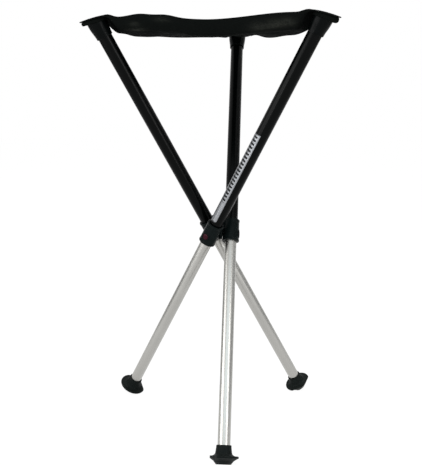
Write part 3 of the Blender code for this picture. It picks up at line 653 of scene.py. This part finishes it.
def sleeve_points(edge):
    """The pivot sleeve as a radius over height and angle. The wall has a bead at each end with a smooth ramp, and ends
    in a quarter round. A smooth step raises a round boss to a flat face at angle 0, sinks a well in it for the button,
    and raises a round pad at the other side. The bore closes the ring of rows."""
    round_back = np.linspace(BOSS_ARC, FULL_TURN - BOSS_ARC, 91)[1:-1]
    angle = np.concatenate([np.linspace(-BOSS_ARC, BOSS_ARC, 111), round_back])[None]
    boss_low, boss_high = BUTTON_HEIGHT - BOSS_R - BOSS_WALL, BUTTON_HEIGHT + BOSS_R + BOSS_WALL
    height = np.concatenate(
        [
            np.linspace(SLEEVE_BOTTOM, SLEEVE_BOTTOM + 2 * edge, 12),
            np.linspace(SLEEVE_BOTTOM + 2 * edge, boss_low, 10)[1:-1],
            np.linspace(boss_low, boss_high, 91),
            np.linspace(boss_high, SLEEVE_TOP - 2 * edge, 50)[1:-1],
            np.linspace(SLEEVE_TOP - 2 * edge, SLEEVE_TOP, 12),
        ]
    )[:, None]
    to_end = np.minimum(height - SLEEVE_BOTTOM, SLEEVE_TOP - height)
    inside = np.clip(edge - to_end, 0, edge)
    wall = SLEEVE_R + BEAD_RISE * smooth_step((BEAD_HEIGHT + BEAD_RAMP - to_end) / BEAD_RAMP)
    wall = wall - (edge - np.sqrt(edge**2 - inside**2))
    radius = np.broadcast_to(wall, (len(height), angle.shape[1]))
    facing = np.cos(angle) > 0.5  # within 60 degrees of the boss
    across = np.where(facing, BOSS_FACE * np.tan(np.where(facing, angle, 0)), 1)
    off_boss = np.hypot(across, height - BUTTON_HEIGHT)
    boss = smooth_step((BOSS_R + BOSS_WALL / 2 - off_boss) / BOSS_WALL)
    well = smooth_step((BUTTON_R + GAP + BOSS_WALL / 4 - off_boss) / (BOSS_WALL / 2))
    face = (BOSS_FACE - BUTTON_WELL * well) / np.where(facing, np.cos(angle), 1)
    radius = radius + boss * (face - radius)
    behind = np.cos(angle) < -0.5  # within 60 degrees of the pad
    aside = np.where(behind, PAD_FACE * np.tan(np.where(behind, angle, 0)), 1)
    pad = smooth_step((PAD_R + BOSS_WALL / 2 - np.hypot(aside, height)) / BOSS_WALL)
    radius = radius + pad * (PAD_FACE / np.where(behind, -np.cos(angle), 1) - radius)
    lip, wide, narrow = SLEEVE_BOTTOM + SLEEVE_LIP, UPPER_R + GAP, LOWER_R + GAP
    bore = np.array(
        [
            (wide + edge / 2, SLEEVE_TOP),
            (wide, SLEEVE_TOP - edge / 2),
            (wide, lip),
            (narrow, lip),
            (narrow, SLEEVE_BOTTOM + edge / 2),
            (narrow + edge / 2, SLEEVE_BOTTOM),
        ]
    )
    radius = np.concatenate([radius, np.broadcast_to(bore[:, :1], (len(bore), angle.shape[1]))])
    height = np.broadcast_to(np.concatenate([height, bore[:, 1:]]), radius.shape)
    return np.stack([radius * np.cos(angle), radius * np.sin(angle), height], axis=-1)


def domed_rod(profile, radius, start, rise, rings, steps):
    """A profile of radii and distances from the leg axis, ended by a low dome and carried round X at the button's
    height. The dome's radius is a power of a cosine and its rise a sine."""
    dome = np.linspace(0, QUARTER, rings)
    crown = np.column_stack([radius * np.cos(dome) ** DOME_POWER, start + rise * np.sin(dome)])
    points = turned(np.concatenate([profile, crown]), steps)
    return np.stack([points[..., 2], points[..., 0], points[..., 1] + BUTTON_HEIGHT], axis=-1)


def button_points(steps):
    """The release button: a rim, a short barrel and a domed face."""
    back = [(0, BUTTON_BACK), (BUTTON_RIM_R, BUTTON_BACK), (BUTTON_RIM_R, BUTTON_RIM), (BUTTON_R, BUTTON_RIM)]
    return domed_rod(back, BUTTON_R, BUTTON_FACE - BUTTON_DOME, BUTTON_DOME, 9, steps)


def lock_pin_points(steps):
    """The lock pin: a rod with a low round end."""
    base = [(0, CLIP_WALL), (LOCK_PIN_R, CLIP_WALL)]
    return domed_rod(base, LOCK_PIN_R, BUTTON_BACK - GAP - LOCK_PIN_DOME, LOCK_PIN_DOME, 7, steps)


def strip_points():
    """The spring strip in the lower tube: a flat section with eased edges, carried along an arch of two straight arms
    that lean in to a round bend, with a pole at each end."""
    half = CLIP_THICK / 2
    wall, bend = CLIP_WALL - half, CLIP_BEND_R - half
    top = BUTTON_HEIGHT + CLIP_RISE - CLIP_BEND_R
    arm = np.array([(wall, BUTTON_HEIGHT - CLIP_TAIL), (wall, BUTTON_HEIGHT + CLIP_STRAIGHT), (bend, top)])
    turn = np.linspace(0, math.pi, 13)[1:-1]
    crown = np.column_stack([bend * np.cos(turn), top + bend * np.sin(turn)])
    path = np.concatenate([arm, crown, arm[::-1] * [-1, 1]])
    along = np.gradient(path, axis=0)
    outward = np.column_stack([along[:, 1], -along[:, 0]]) / np.linalg.norm(along, axis=1, keepdims=True)
    side = CLIP_WIDTH / 2
    section = eased([(-side, -half), (side, -half), (side, half), (-side, half)], CLIP_EASE)
    section = section * np.pad(np.ones(len(path)), 1)[:, None, None]
    path, outward = (np.pad(grid, ((1, 1), (0, 0)), "edge")[:, None] for grid in (path, outward))
    plan = path + section[..., 1:] * outward
    return np.stack([plan[..., 0], section[..., 0], plan[..., 1]], axis=-1)


def ear_reach(angle, extra):
    """Distance from the leg axis to the ear's outline: a round root, a smaller round end and the lines that touch both.
    """
    root, end = CAP_TOP_R + extra, EAR_TIP_R + extra
    lean = math.asin((root - end) / EAR_REACH)
    folded = np.arctan2(np.sin(angle), np.abs(np.cos(angle)))
    end_starts = math.atan2(EAR_REACH + end * math.sin(lean), end * math.cos(lean))
    line = root / np.cos(np.clip(folded, lean, end_starts) - lean)
    tip_angle = np.maximum(folded, end_starts)
    tip = EAR_REACH * np.sin(tip_angle) + np.sqrt(end**2 - (EAR_REACH * np.cos(tip_angle)) ** 2)
    return np.where(folded > end_starts, tip, np.where(folded > lean, line, root))


def ear_point(radius, angle, level):
    """Points at a level above the ear's middle plane, which leans up from square to the leg."""
    x, y = radius * np.cos(angle), radius * np.sin(angle)
    c, s = math.cos(EAR_TURN), math.sin(EAR_TURN)
    return np.stack([x + 0 * level, y * c - level * s, EAR_LEVEL + y * s + level * c], axis=-1)


def cap_points(edge, steps):
    """The corner cap in rings round the leg axis: up the bore, out under the collar, up its flare, and out and over the
    ear to a pole on top."""
    angle = np.arange(steps)[None] / steps * FULL_TURN
    bore = UPPER_R + GAP
    outside = bore + CAP_WALL
    collar = [
        (0, UPPER_TOP + GAP),
        (bore, UPPER_TOP + GAP),
        (bore, CAP_BOTTOM),
        (outside - edge / 2, CAP_BOTTOM),
        (outside, CAP_BOTTOM + edge / 2),
    ]
    flare = np.linspace(0, 1, 7)[1:]
    rise = CAP_BOTTOM + edge / 2 + (EAR_LEVEL - CAP_SHOULDER - CAP_BOTTOM) * flare
    swell = np.column_stack([outside + (CAP_TOP_R - outside) * smooth_step(flare), rise])
    outline = ear_reach(angle, 0.0)
    neck = np.minimum(CAP_TOP_R, outline)
    ear = (
        (neck, -EAR_HALF),
        (np.maximum(outline - edge, neck), -EAR_HALF),
        (outline, -EAR_HALF + edge),
        (outline, EAR_HALF - edge),
        (outline - edge, EAR_HALF),
        (0 * outline, EAR_HALF),
    )
    rings = turned(np.concatenate([collar, swell]), steps)
    return np.concatenate([rings, *(ear_point(radius, angle, level) for radius, level in ear)])


def pocket_points(number, steps):
    """The cloth pocket over the ear in rings round the leg axis: out under the ear, round a full rim, and up over a low
    crown to a pole. The rim is pulled in a little between soft puckers, and swells at the end as a squared sine."""
    angle = np.arange(steps)[None] / steps * FULL_TURN
    outline = ear_reach(angle, GAP + POCKET_CLOTH) + POCKET_PUCKER * np.cos(POCKET_PUCKERS * angle)
    neck = np.minimum(CAP_TOP_R + GAP, outline - POCKET_LIP)
    roll = np.linspace(-QUARTER, QUARTER, 13)[:, None]
    swell = POCKET_FULL[number] * np.maximum(np.sin(angle), 0) ** 2
    flat = outline - POCKET_ROLL - 1.2 * swell
    rim_radius = flat + (outline - flat) * np.cos(roll) ** RIM_POWER
    bulge = np.sign(np.sin(roll)) * np.abs(np.sin(roll)) ** RIM_POWER
    rim_level = POCKET_HALF * bulge + swell * (np.sin(roll) - 0.5)
    inward = np.linspace(0, 1, 7)[1:, None]
    share = (1 - inward) ** 2
    under = ear_point(neck, angle, -POCKET_HALF)
    rim = ear_point(rim_radius, angle, rim_level)
    top_level = POCKET_HALF + POCKET_CROWN * (1 - share) + 0.5 * swell * share
    top = ear_point(flat * (1 - inward), angle, top_level)
    return np.concatenate([under, rim, top])


def foot_points(number, edge, steps):
    """The foot: a profile of bore, ribbed collar, hollow skirt, thin flange and ribbed tip carried round Z, bent in
    below the flange as the square of the drop, and pressed back to the flats beside the other legs and to the floor.
    """
    bore = LOWER_R + GAP
    waist = FOOT_TOP - FOOT_COLLAR
    middle = FOOT_TOP - FLANGE_DROP
    half = FLANGE_THICK / 2
    down = np.linspace(0, 1, 25)
    collar_r = bore + COLLAR_WALL
    ribs = COLLAR_RIB * np.cos(COLLAR_RIBS * FULL_TURN * down)
    collar = np.column_stack(
        [collar_r + (FOOT_WAIST_R - collar_r) * down**1.5 + ribs, FOOT_TOP - edge + (waist - FOOT_TOP + edge) * down]
    )
    turn = np.linspace(0, QUARTER, 13)[1:]
    rim = FLANGE_R - half
    skirt = np.column_stack(
        [rim - half - (rim - half - FOOT_WAIST_R) * np.cos(turn), waist - (waist - middle - half) * np.sin(turn)]
    )
    round_rim = np.linspace(QUARTER, -QUARTER, 9)
    flange = np.column_stack([rim + half * np.cos(round_rim), middle + half * np.sin(round_rim)])
    tip_top = middle - TIP_DROP
    ribs = TIP_RIB * np.cos(TIP_RIBS * FULL_TURN * down)
    tip = np.column_stack(
        [TIP_TOP_R + (TIP_BOTTOM_R - TIP_TOP_R) * down + ribs, tip_top + (FOOT_BOTTOM + edge - tip_top) * down]
    )
    hole = [(0, FOOT_BOTTOM + FOOT_SOLE), (bore, FOOT_BOTTOM + FOOT_SOLE), (bore, FOOT_TOP)]
    lip = [(collar_r - edge, FOOT_TOP), (collar_r - 0.3 * edge, FOOT_TOP - 0.3 * edge)]
    sole = [(TIP_BOTTOM_R - edge, FOOT_BOTTOM), (0, FOOT_BOTTOM)]
    points = turned(np.concatenate([hole, lip, collar, skirt, flange, tip, sole]), steps)
    below = np.clip((middle - half - points[..., 2]) / (middle - half - FOOT_BOTTOM), 0, 1)
    points[..., 1] += FOOT_HEEL * below**2
    for side in FLAT_TURNS:
        away = np.array([math.cos(side), math.sin(side), 0])
        past = np.maximum(points @ away - FOOT_FLAT, 0)
        points = points - past[..., None] * away
    placed = from_leg(points, number)
    placed[..., 2] = np.maximum(placed[..., 2], 0)
    return placed


def label_points(sizes):
    """The label: a strip of the tube's round between two heights, whose lower corners are quarter circles."""
    radius = UPPER_R + LABEL_LIFT
    height = np.linspace(sizes.label_start, sizes.label_end, 60)
    short = np.clip(LABEL_CORNER - (height - sizes.label_start), 0, LABEL_CORNER)
    half = sizes.label_width / 2 - (LABEL_CORNER - np.sqrt(LABEL_CORNER**2 - short**2))
    angle = sizes.label_turn + np.linspace(-1, 1, 25) * half[:, None] / radius
    level = np.broadcast_to(height[:, None], angle.shape)
    return np.stack([radius * np.cos(angle), radius * np.sin(angle), level], axis=-1)


def leg_turn(number):
    """Angle of a leg's pivot round the hub."""
    axis = JOINTS[f"leg_{number}_fold"]["axis"]
    return math.atan2(axis[1], axis[0])


def turned_plan(points, angle):
    """Plan points turned about the hub axis."""
    c, s = math.cos(angle), math.sin(angle)
    return points @ np.array([[c, s], [-s, c]])


def side_height(side, along):
    """Height of a seat's side over its ends: a cubed sine sags it, and bell curves raise or lower parts of it."""
    rises = [rise * np.exp(-(((along - at) / spread) ** 2)) for at, spread, rise in SIDE_RISES[side]]
    return sum(rises) - SIDE_SAG[side] * np.sin(math.pi * along) ** 3


def seat_edge(number):
    """Half sides and corner of the seat's outline that belong to a leg, in plan: a straight side bowed in by a parabola
    to the round corner, and the next side to its middle. Also gives the rise of the edge over its ends, and the outward
    direction."""
    reach = POCKET_OUT + EAR_REACH + EAR_TIP_R + POCKET_CLOTH - CORNER_R
    arc = np.radians(np.linspace(30, 150, 25))
    normal = np.column_stack([np.cos(arc), np.sin(arc)])
    corner = np.array([PIVOT_OFFSET, reach]) + CORNER_R * normal
    half = 0.5 * np.sin(np.linspace(0, QUARTER, EDGE_STEPS))
    before = turned_plan(corner[-1:], -FULL_TURN / 3)[0]
    after = turned_plan(corner[:1], FULL_TURN / 3)[0]
    sides = []
    for start, end, s in ((before, corner[0], 1 - half[::-1]), (corner[-1], after, half)):
        along = end - start
        inward = np.array([-along[1], along[0]]) / np.linalg.norm(along)
        bow = EDGE_BOW * 4 * s * (1 - s)
        points = start + s[:, None] * along + bow[:, None] * inward
        slope = along + (EDGE_BOW * 4 * (1 - 2 * s))[:, None] * inward
        outward = np.column_stack([slope[:, 1], -slope[:, 0]])
        sides.append((points, s, outward / np.linalg.norm(outward, axis=1, keepdims=True)))
    (p0, s0, n0), (p1, s1, n1) = sides
    turn = leg_turn(number)
    points = np.concatenate([p0, corner[1:-1], p1])
    outward = np.concatenate([n0, normal[1:-1], n1])
    flat = np.zeros(len(corner) - 2)
    rim = np.concatenate([side_height((number + 1) % 3 + 1, s0), flat, side_height(number, s1)])
    return turned_plan(points, turn), rim, turned_plan(outward, turn)


def seat_height(plan, ring, rim):
    """Height of the cloth above the hub over plan points, ring being the share of the way from edge to middle. The rise
    of the rim fades inwards, the pan falls away from it exponentially and leans to one side by a cubic that is 1 at its
    top, and the cloth lies on each crowned pocket, which a smooth step blends in. Folds leave each pocket as cosines of
    the angle round it, strongest a short way out."""
    sizes = bpy.context.scene.stool_sizes
    lean = np.cos(np.arctan2(plan[..., 1], plan[..., 0]) - PAN_LEAN_TURN)
    belly = 27 / 4 * ring * (1 - ring) ** 2
    pan = sizes.seat_depth * (1 - np.exp(-ring / PAN_START)) + PAN_LEAN * lean * belly
    height = SEAT_RIM + RIM_RISE + rim * (1 - ring) ** 2 - pan
    for number in LEGS:
        own = turned_plan(plan, -leg_turn(number))
        out = own[..., 1] - POCKET_OUT
        across = own[..., 0] - PIVOT_OFFSET
        beside = np.hypot(across, out - np.clip(out, 0, EAR_REACH))
        head = smooth_step((HEAD_FAR - beside) / (HEAD_FAR - HEAD_NEAR))
        share = np.hypot(across, out) / ear_reach(np.arctan2(out, across), GAP + POCKET_CLOTH)
        pocket = SEAT_RIM - math.tan(TILT - EAR_TURN) * out + POCKET_CROWN * np.maximum(1 - share**2, 0)
        height = height + head * (pocket - height)
        reach = beside / FOLD_REACH
        fold = np.cos(FOLD_COUNT * np.arctan2(across, -out) + FOLD_SHIFT * number)
        height = height + sizes.fold_height * (1 - head) * fold * reach * np.exp(1 - reach)
    return height


def seat_points(number, hem_width):
    """A third of the seat, from the inner edge of its hem, round the folded edge and in over the top to the middle of
    the seat. Rows of equal distance from the edge run from the middle of one side round the corner to the next."""
    edge, lift, outward = seat_edge(number)
    to_middle = np.sum(edge * outward, axis=1)
    own = turned_plan(edge, -leg_turn(number)) - [PIVOT_OFFSET, POCKET_OUT]
    at_corner = smooth_step((HEM_NARROW - np.hypot(*own.T)) / HEM_FADE)
    width = hem_width * (1 - at_corner) + 2 * ROLL_R * at_corner
    rows = []
    for share in np.linspace(1, 0, 9):
        ring = share * width / to_middle
        plan = edge * (1 - ring)[:, None]
        rows.append(np.column_stack([plan, seat_height(plan, ring, lift) - 2 * ROLL_R]))
    rim = seat_height(edge, 0 * lift, lift) - ROLL_R
    for roll in np.linspace(-QUARTER, QUARTER, 9)[1:-1]:
        plan = edge + outward * ROLL_R * math.cos(roll)
        rows.append(np.column_stack([plan, rim + ROLL_R * math.sin(roll)]))
    for ring in np.concatenate([np.linspace(0, 0.3, 31), np.linspace(0.3, 1, 36)[1:]]):
        plan = edge * (1 - ring)
        rows.append(np.column_stack([plan, seat_height(plan, ring, lift)]))
    return np.stack(rows) + HUB


def seam_path(number, hem_width):
    """Path of the hem's stitches on top of the cloth."""
    edge, lift, outward = seat_edge(number)
    ring = (hem_width - SEAM_INSET) / np.sum(edge * outward, axis=1)
    plan = edge * (1 - ring)[:, None]
    return np.column_stack([plan, seat_height(plan, ring, lift)]) + HUB


def stitch_points(path, pitch, width):
    """Stitches along a path of points: each a bead of six sides and five rings, whose radius rises and falls as the
    root of a sine along it."""
    run = np.append(0, np.cumsum(np.linalg.norm(np.diff(path, axis=0), axis=1)))
    count = int(run[-1] / pitch)
    at = (np.arange(count)[:, None] + np.linspace(0.12, 0.88, 5)) * run[-1] / count
    middle = np.stack([np.interp(at, run, path[:, i]) for i in range(3)], axis=-1)
    up = np.array([0.0, 0.0, 1.0])
    side = np.cross(middle[:, -1:] - middle[:, :1], up)
    side = side / np.linalg.norm(side, axis=-1, keepdims=True)
    size = width / 2 * np.sqrt(np.sin(np.linspace(0, math.pi, 5)))[None, :, None, None]
    turn = np.arange(6) / 6 * FULL_TURN
    around = side[:, :, None] * np.cos(turn)[:, None] + up * np.sin(turn)[:, None]
    return middle[:, :, None] + size * around


def mark_painted_sheen(piece):
    """A number for each point of the cloth, a sum of bell curves about the spots of painted sheen, for its material,
    which paints a highlight there.
    """
    mesh = piece.data
    away = (mesh_points(mesh)[:, None] - HUB - PAINTED_SHEEN_SPOTS[:, :3]) / PAINTED_SHEEN_SPOTS[:, [3, 4, 4]]
    painted_sheen_weight = np.sum(PAINTED_SHEEN_SPOTS[:, 5] * np.exp(-np.sum(away**2, axis=2)), axis=1)
    mesh.attributes.new("PaintedSheen", "FLOAT", "POINT").data.foreach_set("value", painted_sheen_weight.astype(np.float32))


class STOOL_OT_upper_tubes(bpy.types.Operator):
    """Three black upper tubes with eased ends"""

    bl_idname = "stool.upper_tubes"
    bl_label = "Upper tubes"

    def execute(self, context):
        sizes = context.scene.stool_sizes
        material = black_anodised_aluminium(context.scene.stool_colours)
        points = tube_points(UPPER_BORE, UPPER_R, UPPER_BOTTOM, UPPER_TOP, sizes.tube_edge, sizes.round_steps)
        dress_legs("black_tube_{}", on_legs(points), material, "leg", "upper_tube", ring=True)
        return {"FINISHED"}


class STOOL_OT_lower_tubes(bpy.types.Operator):
    """Three bare aluminium lower tubes with eased ends"""

    bl_idname = "stool.lower_tubes"
    bl_label = "Lower tubes"

    def execute(self, context):
        sizes = context.scene.stool_sizes
        material = satin_anodised_aluminium(context.scene.stool_colours)
        points = tube_points(LOWER_BORE, LOWER_R, LOWER_BOTTOM, LOWER_TOP, sizes.tube_edge, sizes.round_steps)
        dress_legs("bare_tube_{}", on_legs(points), material, "lower_leg", "lower_tube", ring=True)
        return {"FINISHED"}


class STOOL_OT_sleeves(bpy.types.Operator):
    """Three moulded sleeves that carry the pivots and the button bosses"""

    bl_idname = "stool.sleeves"
    bl_label = "Pivot sleeves"

    def execute(self, context):
        points = sleeve_points(context.scene.stool_sizes.mould_edge)
        material = moulded_nylon("moulded_black_nylon", context.scene.stool_colours.nylon)
        dress_legs("sleeve_{}", on_legs(points), material, "leg", "pivot_sleeve", ring=True)
        return {"FINISHED"}


class STOOL_OT_buttons(bpy.types.Operator):
    """Three domed red release buttons"""

    bl_idname = "stool.buttons"
    bl_label = "Release buttons"

    def execute(self, context):
        points = button_points(context.scene.stool_sizes.round_steps // 2)
        material = red_moulded_acetal(context.scene.stool_colours)
        dress_legs("button_{}_face", on_legs(points), material, "button", "release_button")
        return {"FINISHED"}


class STOOL_OT_clips(bpy.types.Operator):
    """Three spring strips with the lock pins that the upper tubes press in as the legs slide"""

    bl_idname = "stool.clips"
    bl_label = "Lock clips"

    def execute(self, context):
        material = zinc_plated_steel(context.scene.stool_colours)
        pin = lock_pin_points(context.scene.stool_sizes.round_steps)
        # Each strip and pin goes on the legs with a mesh of its own; the far point beside each is given but not used
        for name, points, far in (("spring_strip_{}", strip_points(), CLIP_WALL), ("lock_pin_{}", pin, LOCK_PIN_FAR)):
            pieces = dress_legs(name, on_legs(points), material, "lower_leg", "lock_clip")
            for number, piece in zip(LEGS, pieces):
                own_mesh(piece)
        return {"FINISHED"}


class STOOL_OT_caps(bpy.types.Operator):
    """Three moulded corner caps with the ears that hold the seat"""

    bl_idname = "stool.caps"
    bl_label = "Corner caps"

    def execute(self, context):
        sizes = context.scene.stool_sizes
        points = cap_points(sizes.mould_edge, sizes.round_steps)
        # A darker copy of the sleeves' nylon, painted shade for the caps below the seat
        material = moulded_nylon("moulded_black_nylon_cap_painted_shade", context.scene.stool_colours.cap)
        dress_legs("cap_{}", on_legs(points), material, "leg", "corner_cap")
        return {"FINISHED"}


class STOOL_OT_pockets(bpy.types.Operator):
    """Three sewn cloth pockets over the ears"""

    bl_idname = "stool.pockets"
    bl_label = "Corner pockets"

    def execute(self, context):
        sizes = context.scene.stool_sizes
        material = woven_polyester(context.scene.stool_colours, sizes.weave_pitch)
        grids = [from_leg(pocket_points(number, sizes.round_steps), number) for number in LEGS]
        for piece in dress_legs("pocket_{}", grids, material, "leg", "corner_pocket"):
            thicken(piece, sizes.cloth_thickness)
        return {"FINISHED"}


class STOOL_OT_feet(bpy.types.Operator):
    """Three moulded rubber feet with wide flanges"""

    bl_idname = "stool.feet"
    bl_label = "Feet"

    def execute(self, context):
        sizes = context.scene.stool_sizes
        material = black_rubber(context.scene.stool_colours)
        grids = [foot_points(number, sizes.mould_edge, sizes.round_steps) for number in LEGS]
        dress_legs("rubber_foot_{}", grids, material, "lower_leg", "foot")
        return {"FINISHED"}


class STOOL_OT_seat(bpy.types.Operator):
    """The cloth seat in three parts, one for each leg's corner, with a folded and stitched hem"""

    bl_idname = "stool.seat"
    bl_label = "Seat"

    def execute(self, context):
        sizes = context.scene.stool_sizes
        cloth = woven_polyester(context.scene.stool_colours, sizes.weave_pitch)
        thread = sewing_thread(context.scene.stool_colours)
        for number in LEGS:
            points = seat_points(number, sizes.hem_width)
            piece = add_surface(f"seat_part_{number}", points, cloth, uv=(points - HUB)[..., :2])
            # Spots where the cloth's material paints a sheen, a painted highlight
            mark_painted_sheen(piece)
            thicken(piece, sizes.cloth_thickness)
            beads = stitch_points(seam_path(number, sizes.hem_width), sizes.stitch_pitch, sizes.thread_width)
            seam = add_beads(f"seat_stitches_{number}", beads, thread)
            for part in (piece, seam):
                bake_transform(part)
        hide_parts("seat_sling")
        return {"FINISHED"}


class STOOL_OT_label(bpy.types.Operator):
    """A silver label with plain bars on the upper tube of one leg"""

    bl_idname = "stool.label"
    bl_label = "Label"

    def execute(self, context):
        sizes = context.scene.stool_sizes
        material = brushed_silver_film(context.scene.stool_colours, sizes)
        piece = add_surface("silver_label", from_leg(label_points(sizes), LABEL_LEG), material)
        thicken(piece, LABEL_THICK)
        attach(piece, f"leg_{LABEL_LEG}")
        return {"FINISHED"}


class STOOL_OT_fittings(bpy.types.Operator):
    """Finishes of the CAD pieces that stay: hub, pins, plugs and washers"""

    bl_idname = "stool.fittings"
    bl_label = "Fittings"

    def execute(self, context):
        colours = context.scene.stool_colours
        nylon, steel = moulded_nylon("moulded_black_nylon", colours.nylon), zinc_plated_steel(colours)
        finishes = {"hub_upper_half": nylon, "hub_lower_half": nylon, "hub_bolt": steel, "hub_nut": steel}
        for kind, material in (("tube_plug", nylon), ("pivot_pin", steel), ("foot_washer", steel)):
            finishes.update({f"{kind}_{number}": material for number in LEGS})
        for name, material in finishes.items():
            mesh = frame["nodes"][name].data
            mesh.materials.clear()
            mesh.materials.append(material)
        return {"FINISHED"}


class STOOL_OT_stage(bpy.types.Operator):
    """Floor, backdrop, soft lights and camera"""

    bl_idname = "stool.stage"
    bl_label = "Stage"

    def execute(self, context):
        scene = context.scene
        scene.view_settings.view_transform = "Standard"
        self.add_floor(scene.stool_colours)
        self.add_world(scene)
        for name, settings in LIGHTS.items():
            self.add_light(name, *settings)
        for name, settings in FLAGS.items():
            self.add_flag(name, *settings)
        self.add_camera(scene)
        return {"FINISHED"}

    @staticmethod
    def add_floor(colours):
        """A level floor that is white to the camera and in reflections and keeps part of the stool's shadow."""
        material, tree = empty_material("pale_painted_floor")
        place = add(tree, "TexCoord").outputs["Object"]
        # Roller marks of the paint are about 3 mm across
        marks = add(tree, "TexNoise", {"Vector": place, "Scale": 1 / 0.003})
        tone = add(tree, "Mix", shades(marks, colours.floor, 0.99, 1.01), data_type="RGBA")
        paint = add(tree, "BsdfDiffuse", {"Color": tone})
        glow = add(tree, "Emission", {"Color": (1, 1, 1, 1), "Strength": FLOOR_GLOW})
        ray = add(tree, "LightPath").outputs
        seen = add(tree, "Math", {0: ray["Is Camera Ray"], 1: ray["Is Glossy Ray"]}, operation="MAXIMUM")
        share = add(tree, "Math", {0: seen, 1: FLOOR_WHITE}, operation="MULTIPLY")
        both = add(tree, "MixShader", {"Fac": share, 1: paint, 2: glow})
        add(tree, "OutputMaterial", {"Surface": both})
        x, y = np.meshgrid([-FLOOR_REACH, FLOOR_REACH], [-FLOOR_REACH, FLOOR_REACH])
        add_surface("floor", np.stack([x, y, 0 * x], axis=-1), material)

    @staticmethod
    def add_world(scene):
        """White to the camera and in reflections, and a dimmer fill for the rest."""
        world = bpy.data.worlds.new("white_studio")
        scene.world = world
        world.use_nodes = True
        tree = world.node_tree
        tree.nodes.clear()
        ray = add(tree, "LightPath").outputs
        seen = add(tree, "Math", {0: ray["Is Camera Ray"], 1: ray["Is Glossy Ray"]}, operation="MAXIMUM")
        clear = add(tree, "Math", {0: seen, 1: ray["Is Transmission Ray"]}, operation="MAXIMUM")
        level = add(tree, "MapRange", {"Value": clear, "To Min": SKY_FILL, "To Max": 1.0})
        sky = add(tree, "Background", {"Color": (1, 1, 1, 1), "Strength": level})
        add(tree, "OutputWorld", {"Surface": sky})

    @staticmethod
    def add_light(name, place, target, size, power, colour):
        """A rectangular soft box that faces a point."""
        light = bpy.data.lights.new(name, "AREA")
        light.shape = "RECTANGLE"
        light.size, light.size_y = size
        light.energy = power
        light.color = colour
        box = bpy.data.objects.new(name, light)
        box.location = place
        aim = Vector(target) - Vector(place)
        box.rotation_euler = aim.to_track_quat("-Z", "Y").to_euler()
        bpy.context.scene.collection.objects.link(box)

    @staticmethod
    def add_flag(name, place, width, height, tone):
        """A grey card beside the stool that only reflections see, for the darker edges of bright metal."""
        material, tree = empty_material(f"{name}_grey_flock_card")
        point = add(tree, "TexCoord").outputs["Object"]
        # Flock clumps are about 4 mm across
        flock = add(tree, "TexNoise", {"Vector": point, "Scale": 1 / 0.004})
        grey = add(tree, "MapRange", {"Value": flock, "To Min": 0.95 * tone, "To Max": 1.05 * tone})
        card = add(tree, "BsdfDiffuse", {"Color": grey})
        add(tree, "OutputMaterial", {"Surface": card})
        centre = np.array(place)
        across = np.array([-centre[1], centre[0]]) / np.linalg.norm(centre)
        t, z = np.meshgrid(np.array([-0.5, 0.5]) * width, np.array([0.0, height]))
        plan = centre + t[..., None] * across
        flag = add_surface(name, np.concatenate([plan, z[..., None]], axis=-1), material)
        flag.visible_camera = flag.visible_diffuse = flag.visible_transmission = flag.visible_shadow = False

    @staticmethod
    def add_camera(scene):
        """The photograph's view: a little below the seat, looking slightly down and to the left."""
        lens = bpy.data.cameras.new("photo_camera")
        lens.sensor_width = CAMERA_SENSOR
        lens.lens = CAMERA_LENS
        camera = bpy.data.objects.new("photo_camera", lens)
        camera.location = HUB + CAMERA_FROM_HUB
        camera.rotation_euler = (QUARTER - CAMERA_DOWN, 0, CAMERA_LEFT)
        scene.collection.objects.link(camera)
        scene.camera = camera


OPERATORS = (
    STOOL_OT_upper_tubes,
    STOOL_OT_lower_tubes,
    STOOL_OT_sleeves,
    STOOL_OT_buttons,
    STOOL_OT_clips,
    STOOL_OT_caps,
    STOOL_OT_pockets,
    STOOL_OT_feet,
    STOOL_OT_seat,
    STOOL_OT_label,
    STOOL_OT_fittings,
    STOOL_OT_stage,
)


class STOOL_PT_panel(bpy.types.Panel):
    """Buttons for each group of pieces, and their sizes and colours"""

    bl_label = "Tripod stool"
    bl_space_type = "VIEW_3D"
    bl_region_type = "UI"
    bl_category = "Stool"

    def draw(self, context):
        for operator in OPERATORS:
            self.layout.operator(operator.bl_idname)
        for group in (context.scene.stool_sizes, context.scene.stool_colours):
            for name in group.__annotations__:
                self.layout.prop(group, name)


CLASSES = (StoolSizes, StoolColours, *OPERATORS, STOOL_PT_panel)


def register():
    for cls in CLASSES:
        bpy.utils.register_class(cls)
    bpy.types.Scene.stool_sizes = PointerProperty(type=StoolSizes)
    bpy.types.Scene.stool_colours = PointerProperty(type=StoolColours)


def unregister():
    del bpy.types.Scene.stool_colours
    del bpy.types.Scene.stool_sizes
    for cls in reversed(CLASSES):
        bpy.utils.unregister_class(cls)


def main():
    register()
    bpy.ops.stool.upper_tubes()
    bpy.ops.stool.lower_tubes()
    bpy.ops.stool.sleeves()
    bpy.ops.stool.buttons()
    bpy.ops.stool.clips()
    bpy.ops.stool.caps()
    bpy.ops.stool.pockets()
    bpy.ops.stool.feet()
    bpy.ops.stool.seat()
    bpy.ops.stool.label()
    bpy.ops.stool.fittings()
    bpy.ops.stool.stage()


if __name__ == "__main__":
    main()
